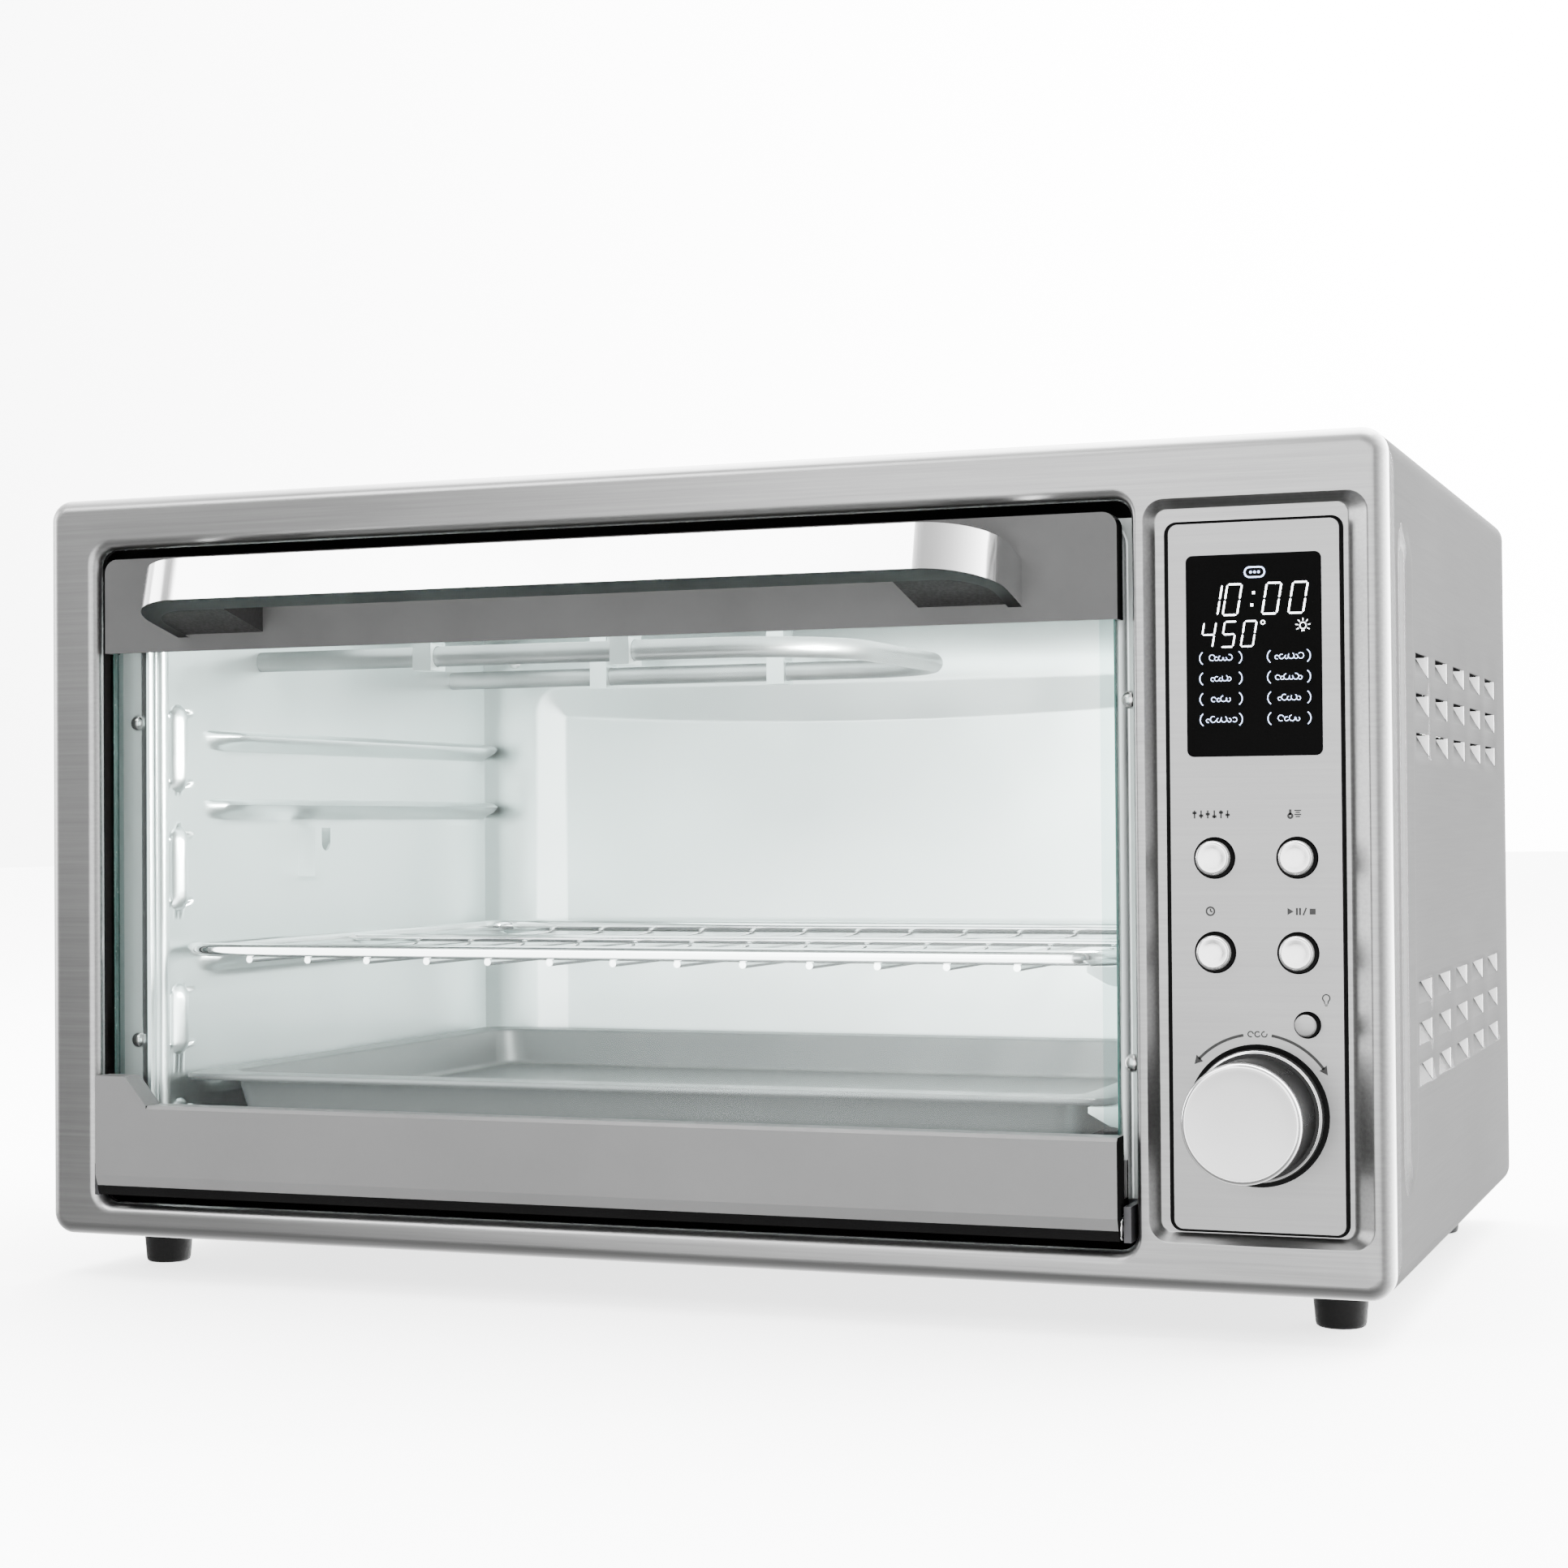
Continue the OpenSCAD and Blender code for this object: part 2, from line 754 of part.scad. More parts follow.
// The forked rest for the free end of the spit, on the left wall
module spit_support() {
    color("silver") oven() {
        difference() {
            slab_x(cav_x0, cav_x0 + 9) rect(spit_at[0] - 9, spit_at[1] - 14, spit_at[0] + 9, spit_at[1] + 6);
            slab_x(cav_x0 + 1, cav_x0 + 8) rect(spit_at[0] - 8, spit_at[1] - 13, spit_at[0] + 8, spit_at[1] + 7);
            slab_x(cav_x0 + 7, cav_x0 + 10) {
                translate([spit_at[0], spit_at[1]]) circle(3.5);
                rect(spit_at[0] - 3.5, spit_at[1], spit_at[0] + 3.5, spit_at[1] + 7);
            }
        }
    }
}

// ---------- cavity ----------

module cavity_flange() {
    o = 5;
    o2 = 3;
    color("silver") oven() {
        slab_y(sheet, flange_y) difference() {
            rect(open_x0 - o, open_z0 - o, open_x1 + o2, open_z1 + o);
            rect(open_x0 - o + wall, open_z0 - o + wall, open_x1 + o2 - wall, open_z1 + o - wall);
        }
        difference() {
            slab_y(flange_y, flange_y + sheet) difference() {
                rect(open_x0 - o, open_z0 - o, open_x1 + o2, open_z1 + o);
                round_rect(cav_x0, cav_z0, cav_x1, cav_z1, 4);
            }
            for (p = flange_screw_places) {
                rod_y(flange_y - 1, flange_y + 3, p[0], p[1], 1.6);
            }
        }
    }
}

flange_screw_places = [
    [(open_x0 + cav_x0) / 2, cav_z0 + 170], [(open_x0 + cav_x0) / 2, cav_z0 + 50],
    [(open_x1 + cav_x1) / 2, cav_z0 + 170], [(open_x1 + cav_x1) / 2, cav_z0 + 50]
];

module flange_screws() {
    color("gainsboro") oven() {
        for (p = flange_screw_places) {
            rod_y(flange_y - 1.8, flange_y, p[0], p[1], 2.8);
            rod_y(flange_y - 1, flange_y + 6, p[0], p[1], 1.5);
        }
    }
}

// Holes that the lower heater tubes pass through
module heater_holes(x0, x1) {
    for (y = heater_y) {
        rod_x(x0, x1, y, lower_z, heater_r + 0.3);
    }
}

// Pressed ledge for the rack or the tray, or a stiffening rib like one;
// side is 1 for the left wall and -1 for the right
module ledge(x, side, top, wide = ledge_w) {
    h = ledge_h;
    w = wide * side;
    slab_y(cav_y0 + 4, cav_y1 - dish - 1)
        polygon([[x, top], [x + w, top], [x + w, top - 2], [x + w * 0.4, top - h], [x, top - h - 1]]);
}

rack_rest = rack_z - wire_r;
rib_tops = [spit_at[1] + 17, upper_z - 29];
tray_rest = tray_z - 2.5;

module cavity_left_wall() {
    color("whitesmoke") oven() {
        difference() {
            slab_x(cav_x0 - wall, cav_x0) rect(cav_y0, cav_z0, cav_y1, cav_z1);
            heater_holes(cav_x0 - 3, cav_x0 + 3);
            for (y = hairpin_y) {
                rod_x(cav_x0 - 3, cav_x0 + 3, y, upper_z, heater_r + 0.3);
            }
        }
        ledge(cav_x0 - eps, 1, rack_rest);
        ledge(cav_x0 - eps, 1, tray_rest);
        for (top = rib_tops) {
            ledge(cav_x0 - eps, 1, top, 8);
        }
    }
}

module cavity_right_wall() {
    color("whitesmoke") oven() {
        difference() {
            slab_x(cav_x1, cav_x1 + wall) rect(cav_y0, cav_z0, cav_y1, cav_z1);
            heater_holes(cav_x1 - 3, cav_x1 + 3);
            rod_x(cav_x1 - 3, cav_x1 + 3, fan_at[0], fan_at[1], fan_r + 1);
            rod_x(cav_x1 - 3, cav_x1 + 3, spit_at[0], spit_at[1], spit_r + 0.5);
            rod_x(cav_x1 - 3, cav_x1 + 3, lamp_at[0], lamp_at[1], lamp_r);
            rod_x(cav_x1 - 3, cav_x1 + 3, probe_at[0], probe_at[1], 1.7);
        }
        ledge(cav_x1 + eps, -1, rack_rest);
        ledge(cav_x1 + eps, -1, tray_rest);
    }
}

module cavity_roof() {
    color("whitesmoke") oven() {
        slab_z(cav_z1, cav_z1 + wall) rect(cav_x0 - wall, cav_y0, cav_x1 + wall, cav_y1 + wall);
        // welded clips that carry the hairpin heater
        for (x = clip_x, y = hairpin_y) {
            difference() {
                block(x - 4, x + 4, y - 6, y + 6, upper_z - 5.5, cav_z1 + eps);
                rod_x(x - 5, x + 5, y, upper_z, heater_r + 0.2);
                block(x - 5, x + 5, y - 4.8, y + 4.8, upper_z + 4.8, cav_z1 - 0.8);
            }
        }
    }
}

module dish_outline(inset) {
    round_rect(cav_x0 + 27 + inset, cav_z0 + 23 + inset, cav_x1 - 27 - inset, dish_top - inset, 17 - inset);
}

// Back wall with a large dished field that lets a round tin reach further back
module cavity_back_wall() {
    y0 = cav_y1 - dish;
    color("whitesmoke") oven() {
        slab_y(y0, y0 + wall) difference() {
            rect(cav_x0, cav_z0, cav_x1, cav_z1);
            dish_outline(0);
        }
        slab_y(y0 + wall - eps, cav_y1 + wall) difference() {
            dish_outline(-wall);
            dish_outline(0);
        }
        slab_y(cav_y1, cav_y1 + wall) dish_outline(-wall / 2);
    }
}

module cavity_floor() {
    color("gainsboro") oven() {
        difference() {
            slab_z(cav_z0 - wall, cav_z0) rect(cav_x0 - wall, cav_y0, cav_x1 + wall, cav_y1 + wall);
            slab_z(cav_z0 - 3, cav_z0 + 1)
                round_rect(cav_mid - crumb_half + 8, cav_y0 + 14, cav_mid + crumb_half - 8, cav_y1 - 12, 10);
        }
        // runners that carry the crumb tray
        for (m = [-1, 1]) {
            x = cav_mid + m * (crumb_half + 2);
            slab_y(cav_y0 + 2, cav_y1) {
                rect(min(x, x + m * wall), crumb_z - wall - 0.2, max(x, x + m * wall), cav_z0 - wall + eps);
                rect(min(x, x - m * 10), crumb_z - wall - 0.2, max(x, x - m * 10), crumb_z - 0.2);
            }
        }
    }
}

// Hairpin tube under the roof; both of its ends come out through the left wall
module upper_heaters() {
    x0 = cav_x0 - wall - 8;
    x1 = hairpin_x - hairpin_bend;
    b = hairpin_bend;
    color("gray") oven() {
        for (y = hairpin_y) {
            rod_x(x0, x1, y, upper_z, heater_r);
        }
        rod_y(hairpin_y[0] + b, hairpin_y[1] - b, hairpin_x, upper_z, heater_r);
        wire_bend(x1, hairpin_y[0] + b, upper_z, 270, b, heater_r);
        wire_bend(x1, hairpin_y[1] - b, upper_z, 0, b, heater_r);
    }
}

module lower_heaters() {
    color("gray") oven() {
        for (y = heater_y) {
            rod_x(cav_x0 - wall - 8, cav_x1 + wall + 8, y, lower_z, heater_r);
        }
    }
}

module end_cap(y, z, side) {
    x = side < 0 ? cav_x0 - wall - cap_l : cav_x1 + wall;
    hole = side < 0 ? cav_x0 - wall - 8 : cav_x1 + wall - 1;
    difference() {
        rod_x(x, x + cap_l, y, z, cap_r);
        rod_x(hole, hole + 9, y, z, heater_r + 0.05);
    }
}

module heater_end_caps() {
    color("ivory") oven() {
        for (y = heater_y, side = [-1, 1]) {
            end_cap(y, lower_z, side);
        }
        for (y = hairpin_y) {
            end_cap(y, upper_z, -1);
        }
    }
}

module temperature_probe() {
    color("silver") oven() {
        rod_x(cav_x1 - 70, cav_x1 + wall + 8, probe_at[0], probe_at[1], 1.5);
        difference() {
            block(cav_x1 - 44, cav_x1 - 38, probe_at[0] - 4, probe_at[0] + 4, probe_at[1] - 2.5, cav_z1);
            rod_x(cav_x1 - 50, cav_x1 - 30, probe_at[0], probe_at[1], 1.5);
        }
    }
}

module thermal_cutout() {
    color("black") oven() {
        rod_x(cav_x1 + wall, cav_x1 + wall + 9, cav_y0 + 0.4 * cav_d, 205, 8);
        block(cav_x1 + wall, cav_x1 + wall + 1.2, cav_y0 + 0.4 * cav_d - 14, cav_y0 + 0.4 * cav_d + 14, 201, 209);
    }
}

module lamp_housing() {
    x = cav_x1 + wall;
    color("silver") oven() {
        difference() {
            rod_x(x, x + 34, lamp_at[0], lamp_at[1], lamp_r + 1.6);
            rod_x(x - 1, x + 32, lamp_at[0], lamp_at[1], lamp_r + 0.4);
        }
    }
}

module lamp_bulb() {
    x = cav_x1 + wall + 32;
    color("lightyellow") oven() {
        translate([x, lamp_at[0], lamp_at[1]]) rotate([0, -90, 0]) rotate_extrude()
            polygon([[0, 0], [7, 0], [7, 8], [9, 13], [9, 19], [6.5, 24], [3, 26], [0, 26]]);
    }
}

module lamp_glass() {
    color("azure") oven() {
        rod_x(cav_x1 - 2.5, cav_x1, lamp_at[0], lamp_at[1], lamp_r + 4);
        rod_x(cav_x1 - eps, cav_x1 + 2.5, lamp_at[0], lamp_at[1], lamp_r - 0.2);
    }
}

// ---------- door ----------

module hinge_brackets() {
    color("dimgray") oven() {
        for (m = [0, 1]) {
            translate([m * 2 * door_mid, 0, 0]) mirror([m, 0, 0]) {
                x = open_x0 + 0.7;
                slab_x(x, x + 2.4) rect(-3.4, open_z0 + 3.4, flange_y, open_z0 + 15);
                block(x, x + 8, flange_y - 1.4, flange_y, open_z0 + 3.4, open_z0 + 15);
                rod_x(x + 2.4 - eps, x + 2.4 + pin_l, 0, hinge_z, pin_r);
            }
        }
    }
}

// Torsion springs wound round the hinge pins, inside the ends of the bottom rail
module door_springs() {
    color("silver") oven() {
        for (m = [0, 1]) {
            translate([m * 2 * door_mid, 0, 0]) mirror([m, 0, 0]) {
                for (i = [0:5]) {
                    translate([open_x0 + 3.6 + i * 0.98, 0, hinge_z]) rotate([0, 90, 0])
                        rotate_extrude() translate([3.6, 0]) circle(0.5, $fn = 24);
                }
            }
        }
    }
}

module door_glass() {
    color("lightcyan", 0.4) oven() {
        block(door_x0 + 1.6, door_x1 - 1.6, glass_y, glass_back, door_z0 + 13, door_z1 - 27);
    }
}

module door_top_rail() {
    z0 = door_z1 - top_rail_h;
    color("darkgray") oven() {
        difference() {
            intersection() {
                union() {
                    slab_x(door_x0, door_x1) {
                        rect(-door_proud, z0, glass_y, door_z1);
                        rect(-door_proud, door_z1 - rail_wall, glass_back + rail_wall, door_z1);
                        rect(glass_back, door_z1 - 32, glass_back + rail_wall, door_z1);
                    }
                    for (x = [door_x0, door_x1 - 1.4]) {
                        block(x, x + 1.4, -door_proud, glass_back + rail_wall, z0, door_z1);
                    }
                }
                slab_y(-2, 12) round_rect(door_x0, z0 - 20, door_x1, door_z1, 5);
            }
            for (x = handle_screw_places) {
                rod_y(-2, 3, x, handle_foot_z, 2.1);
            }
        }
    }
}

module door_bottom_rail() {
    z0 = door_z0;
    z1 = z0 + bottom_rail_h;
    front = -8;
    back = glass_back + rail_wall;
    color("darkgray") oven() {
        difference() {
            union() {
                difference() {
                    slab_x(door_x0, door_x1) {
                        polygon([
                            [-6.5, hinge_z], [front, hinge_z + 4], [front, z1 - 1.2], [front + 1.2, z1],
                            [glass_y, z1], [glass_y, z0 + 13], [glass_back, z0 + 13],
                            [glass_back, z0 + 25], [back, z0 + 25], [back, hinge_z]
                        ]);
                        intersection() {
                            translate([0, hinge_z]) circle(6.5);
                            rect(-7, z0, 7, hinge_z + eps);
                        }
                    }
                    // hollow of the folded sheet, open downwards
                    slab_x(door_x0 + 22, door_x1 - 22)
                        polygon([[-5, z0 - 1], [-5, hinge_z], [front + 1.5, hinge_z + 4], [front + 1.5, z1 - 4],
                            [0, z1 - 2], [0, z0 + 11], [back - 2, z0 + 11], [back - 2, z0 - 1]]);
                }
                // ear that covers the lower corner of the glass
                slab_y(front, glass_y) polygon([[door_x0, z1 - 5], [door_x0, z1 + 10.5],
                    [door_x0 + 13, z1 + 10.5], [door_x0 + 22, z1], [door_x0 + 22, z1 - 5]]);
            }
            for (m = [0, 1]) {
                translate([m * 2 * door_mid, 0, 0]) mirror([m, 0, 0]) {
                    rod_x(door_x0 - 1, door_x0 + 6.2, 0, hinge_z, 4.8);
                    rod_x(door_x0, door_x0 + 16, 0, hinge_z, pin_r + run_gap);
                }
            }
        }
    }
}

handle_x0 = door_x0 + handle_inset;
handle_x1 = door_x1 - handle_inset;
handle_z = door_z1 - 12;
handle_z0 = handle_z - handle_h / 2;
handle_front = -door_proud - handle_reach;
handle_bend = handle_reach * 0.6;
handle_foot_z = handle_z0 + handle_h / 2 - handle_reach * tan(handle_tilt);
post_w = 36;
handle_screw_places = [handle_x0 + post_w / 2, handle_x1 - post_w / 2];

// Tips a level outline down towards the door about its lower front edge, and cuts it off at the door
module tipped_handle() {
    intersection() {
        translate([0, handle_front, handle_z0]) rotate([-handle_tilt, 0, 0])
            translate([0, -handle_front, -handle_z0]) children();
        block(handle_x0 - 1, handle_x1 + 1, handle_front - 1, -door_proud, door_z0, door_z1);
    }
}

// The bow: a strap with rounded ends that turn back to the door
module handle_bar() {
    t = handle_t;
    r = handle_bend;
    color("gainsboro") oven() tipped_handle() {
        slab_z(handle_z0, handle_z0 + handle_h) difference() {
            round_rect(handle_x0, handle_front, handle_x1, handle_reach, r);
            round_rect(handle_x0 + t * 0.4, handle_front + t, handle_x1 - t * 0.4, handle_reach - t, r - t * 0.7);
        }
    }
}

module handle_posts() {
    t = handle_t;
    r = handle_bend - t * 0.7;
    color("dimgray") oven() {
        for (m = [0, 1]) {
            translate([m * 2 * door_mid, 0, 0]) mirror([m, 0, 0]) difference() {
                tipped_handle() slab_z(handle_z0 + 1, handle_z0 + handle_h - 1) intersection() {
                    round_rect(handle_x0 + t * 0.4, handle_front + t, handle_x1, handle_reach, r);
                    rect(handle_x0, handle_front, handle_x0 + post_w, handle_reach);
                }
                rod_y(-16, 2, handle_screw_places[0], handle_foot_z, 2);
            }
        }
    }
}

module handle_screws() {
    color("gainsboro") oven() {
        for (x = handle_screw_places) {
            rod_y(-16, glass_y + eps, x, handle_foot_z, 2);
            rod_y(glass_y, glass_y + 2.4, x, handle_foot_z, 3.8);
        }
    }
}

// ---------- loose pieces ----------

// A quarter bend of round wire round the point (x, y), starting at angle a
module wire_bend(x, y, z, a, bend, r) {
    translate([x, y, z]) rotate([0, 0, a]) rotate_extrude(angle = 90)
        translate([bend, 0]) circle(r, $fn = 24);
}

module wire_rack() {
    x0 = cav_mid - rack_half + wire_r;
    x1 = cav_mid + rack_half - wire_r;
    y0 = rack_y0 + wire_r;
    y1 = rack_y1 - wire_r;
    b = rack_bend;
    z = rack_z;
    n = floor((rack_half - 10) / rack_pitch);
    color("gainsboro") oven() {
        rod_x(x0 + b, x1 - b, y0, z, wire_r);
        rod_x(x0 + b, x1 - b, y1, z, wire_r);
        rod_y(y0 + b, y1 - b, x0, z, wire_r);
        rod_y(y0 + b, y1 - b, x1, z, wire_r);
        wire_bend(x0 + b, y0 + b, z, 180, b, wire_r);
        wire_bend(x1 - b, y0 + b, z, 270, b, wire_r);
        wire_bend(x1 - b, y1 - b, z, 0, b, wire_r);
        wire_bend(x0 + b, y1 - b, z, 90, b, wire_r);
        rod_x(x0, x1, (y0 + y1) / 2, z - 0.4, 1.6);
        for (i = [-n:n]) {
            rod_y(y0 - 0.6, y1 + 0.6, cav_mid + i * rack_pitch, z - wire_r - 0.9, cross_r);
        }
    }
}

module baking_tray() {
    x0 = cav_mid - tray_half;
    x1 = cav_mid + tray_half;
    w = tray_rim;
    color("gray") oven() {
        difference() {
            union() {
                slab_z(tray_z - tray_t, tray_z) round_rect(x0, tray_y0, x1, tray_y1, 8);
                slab_z(tray_z - 2.5, tray_z) difference() {
                    round_rect(x0, tray_y0, x1, tray_y1, 8);
                    round_rect(x0 + tray_t, tray_y0 + tray_t, x1 - tray_t, tray_y1 - tray_t, 7);
                }
                slab_z(tray_z - tray_deep, tray_z) round_rect(x0 + w, tray_y0 + w, x1 - w, tray_y1 - w, 14);
            }
            slab_z(tray_z - tray_deep + tray_t, tray_z + 1)
                round_rect(x0 + w + tray_t, tray_y0 + w + tray_t, x1 - w - tray_t, tray_y1 - w - tray_t, 13);
        }
    }
}

module crumb_tray() {
    x0 = cav_mid - crumb_half;
    x1 = cav_mid + crumb_half;
    y0 = cav_y0 + 6;
    y1 = body_d - sheet;
    z = crumb_z;
    color("silver") oven() {
        difference() {
            block(x0, x1, y0, y1, z, z + crumb_h);
            block(x0 + 1, x1 - 1, y0 + 1, y1 - 1, z + 1, z + crumb_h + 1);
        }
        // pull lip that covers the slot in the back panel
        difference() {
            slab_y(y1, y1 + 1) rect(x0 - 8, slot_z0 - 1.5, x1 + 8, slot_z1 + 3);
            slab_y(y1 - 1, y1 + 2) round_rect(cav_mid - 20, z + 1.4, cav_mid + 20, z + 5.4, 1.9);
        }
    }
}

// ---------- output ----------

front_frame();
outer_wrap();
bottom_pan();
rear_panel();
feet();
casing_screws();
cord_gland();
control_plate();
display_lens();
display_module();
control_board();
board_screws();
tact_switches();
button_guide();
encoder_body();
power_board();
transformer();
heat_shield();
cavity_flange();
flange_screws();
cavity_left_wall();
cavity_right_wall();
cavity_roof();
cavity_back_wall();
cavity_floor();
upper_heaters();
lower_heaters();
heater_end_caps();
temperature_probe();
thermal_cutout();
lamp_housing();
lamp_bulb();
lamp_glass();
fan_guard();
fan_housing();
fan_motor();
fan_blade();
spit_motor();
spit_socket();
spit_support();
hinge_brackets();
door_springs();
door_glass();
door_top_rail();
door_bottom_rail();
handle_bar();
handle_posts();
handle_screws();
knob();
knob_cap();
encoder_shaft();
function_button();
temperature_button();
time_button();
start_button();
light_button();
wire_rack();
baking_tray();
crumb_tray();
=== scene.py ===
"""Looks of the countertop toaster oven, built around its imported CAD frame. Metres."""
import json
import math

import bmesh
import bpy
from mathutils import Matrix, Vector


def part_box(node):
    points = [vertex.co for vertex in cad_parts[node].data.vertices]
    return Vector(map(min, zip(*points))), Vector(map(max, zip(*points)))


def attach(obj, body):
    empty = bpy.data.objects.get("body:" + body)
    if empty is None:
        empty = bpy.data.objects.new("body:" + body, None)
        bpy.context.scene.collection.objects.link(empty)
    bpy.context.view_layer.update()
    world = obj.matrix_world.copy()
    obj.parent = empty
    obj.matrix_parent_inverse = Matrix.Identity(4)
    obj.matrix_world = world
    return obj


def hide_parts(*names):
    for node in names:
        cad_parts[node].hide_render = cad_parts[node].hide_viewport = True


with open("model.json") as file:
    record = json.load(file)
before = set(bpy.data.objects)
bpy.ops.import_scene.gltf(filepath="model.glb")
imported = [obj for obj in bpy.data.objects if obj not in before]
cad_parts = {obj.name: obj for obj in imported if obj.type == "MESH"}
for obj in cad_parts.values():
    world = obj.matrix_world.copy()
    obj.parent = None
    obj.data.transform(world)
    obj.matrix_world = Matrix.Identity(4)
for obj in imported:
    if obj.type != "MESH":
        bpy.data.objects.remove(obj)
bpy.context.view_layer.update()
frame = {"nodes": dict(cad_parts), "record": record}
NODES = frame["nodes"]
MM = 0.001
CHASSIS = "chassis"

# Sizes in millimetres from the front face of the frame and the bottom of the casing
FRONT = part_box("front_frame")[0][1] / MM
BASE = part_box("front_frame")[0][2] / MM
HALF_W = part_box("front_frame")[1][0] / MM
BODY_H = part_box("front_frame")[1][2] / MM - BASE
BODY_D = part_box("outer_wrap")[1][1] / MM - FRONT
SHEET = 1.2
SKIRT = 8
CORNER = 8
EDGE = 5
OPENING = (-228.3, 12.5, 167.7, 256.5, 6)
LIP_DEEP = 6
RECESS = (171.8, 16.0, 244.6, 256.0)
RECESS_DEEP = 4.8
PLATE_Y = 2.5
PLATE = (179.85, 20.5, 234.85, 247.5)
LENS = (185.7, 172.5, 229.0, 237.0)
LENS_Y = 2.0
PANEL_X = 207.35
BUTTON_X = 13.3
BUTTON_ROWS = (139.8, 109.5)
LIGHT_BUTTON = (PANEL_X + 16, 86.7)
KNOB_Z = PLATE[1] + 37
CAVITY = (-216.0, 22.0, 158.0, 247.0)
CAVITY_Y = (19.2, 299.2)
DISH = 7


def at(x, y, z):
    """A place given in millimetres from the front face and the casing bottom."""
    return Vector((x * MM, (FRONT + y) * MM, (BASE + z) * MM))


# ---------- camera, light and floor ----------

def look_from(place, yaw, pitch, roll, lens):
    """Adds the camera. Angles in degrees: yaw to the left of +Y, pitch up, roll anticlockwise."""
    data = bpy.data.cameras.new("camera")
    data.lens = lens
    data.sensor_width = 36
    data.clip_start = 0.01
    camera = bpy.data.objects.new("camera", data)
    turn = Matrix.Rotation(math.radians(yaw), 4, "Z")
    tilt = Matrix.Rotation(math.radians(90 + pitch), 4, "X")
    spin = Matrix.Rotation(math.radians(roll), 4, "Z")
    camera.matrix_world = Matrix.Translation(place) @ turn @ tilt @ spin
    bpy.context.scene.collection.objects.link(camera)
    bpy.context.scene.camera = camera


def soft_box(name, place, target, size, power, tint=(1, 1, 1)):
    """Adds a rectangular studio light at a place; it faces the target."""
    data = bpy.data.lights.new(name, "AREA")
    data.shape = "RECTANGLE"
    data.size, data.size_y = size
    data.energy = power
    data.color = tint
    light = bpy.data.objects.new(name, data)
    direction = Vector(target) - Vector(place)
    light.matrix_world = (Matrix.Translation(place)
                          @ direction.to_track_quat("-Z", "Y").to_matrix().to_4x4())
    bpy.context.scene.collection.objects.link(light)
    return light


def studio():
    """A pale floor, a white surround that is dimmer in front of the oven, and soft boxes."""
    world = bpy.data.worlds.new("studio")
    world.use_nodes = True
    bpy.context.scene.world = world
    nodes, links = world.node_tree.nodes, world.node_tree.links
    place = nodes.new("ShaderNodeTexCoord")
    lean = nodes.new("ShaderNodeVectorMath")
    lean.operation = "DOT_PRODUCT"
    lean.inputs[1].default_value = (0.3, 0.86, 0.41)
    level = nodes.new("ShaderNodeMath")
    level.operation = "POWER"
    level.inputs[0].default_value = 8
    gain = nodes.new("ShaderNodeMath")
    gain.operation = "MULTIPLY"
    gain.inputs[1].default_value = 2.7
    nodes["Background"].inputs["Color"].default_value = (1, 1, 1, 1)
    links.new(place.outputs["Generated"], lean.inputs[0])
    links.new(lean.outputs["Value"], level.inputs[1])
    links.new(level.outputs["Value"], gain.inputs[0])
    links.new(gain.outputs["Value"], nodes["Background"].inputs["Strength"])
    bm = bmesh.new()
    bmesh.ops.create_grid(bm, x_segments=1, y_segments=1, size=8)
    bmesh.ops.translate(bm, verts=bm.verts, vec=(0, 7.1, 0))
    floor = new_object("studio_floor", bm)
    paint(floor, floor_paper())
    floor.visible_glossy = False
    soft_box("front_box", (0.05, -2.2, 0.2), (0.05, 0, 0.2), (1.8, 1.3), 30)
    soft_box("left_box", (-2.2, -0.5, 0.5), (0, -0.2, 0.2), (1.1, 1.2), 30)
    soft_box("handle_box", (-1.15, -2.0, 1.55), (0, -0.17, 0.26), (1.4, 0.6), 32)
    soft_box("top_box", (0.0, 0.3, 2.2), (0, 0, 0.2), (2.4, 2.4), 220)
    lamp = soft_box("cavity_lamp", at(150, 70, 200), at(-100, 190, 110), (0.05, 0.05), 7,
                    (1, 0.99, 0.96))
    lamp.data.shape = "DISK"
    soft_box("sill_light", at(-29, 14, 85), at(-29, 290, 60), (0.34, 0.06), 0.6)
    soft_box("cavity_fill", at(-30, 150, 240), at(-30, 160, 0), (0.3, 0.2), 0.8, (0.93, 1, 0.99))


# ---------- mesh building ----------

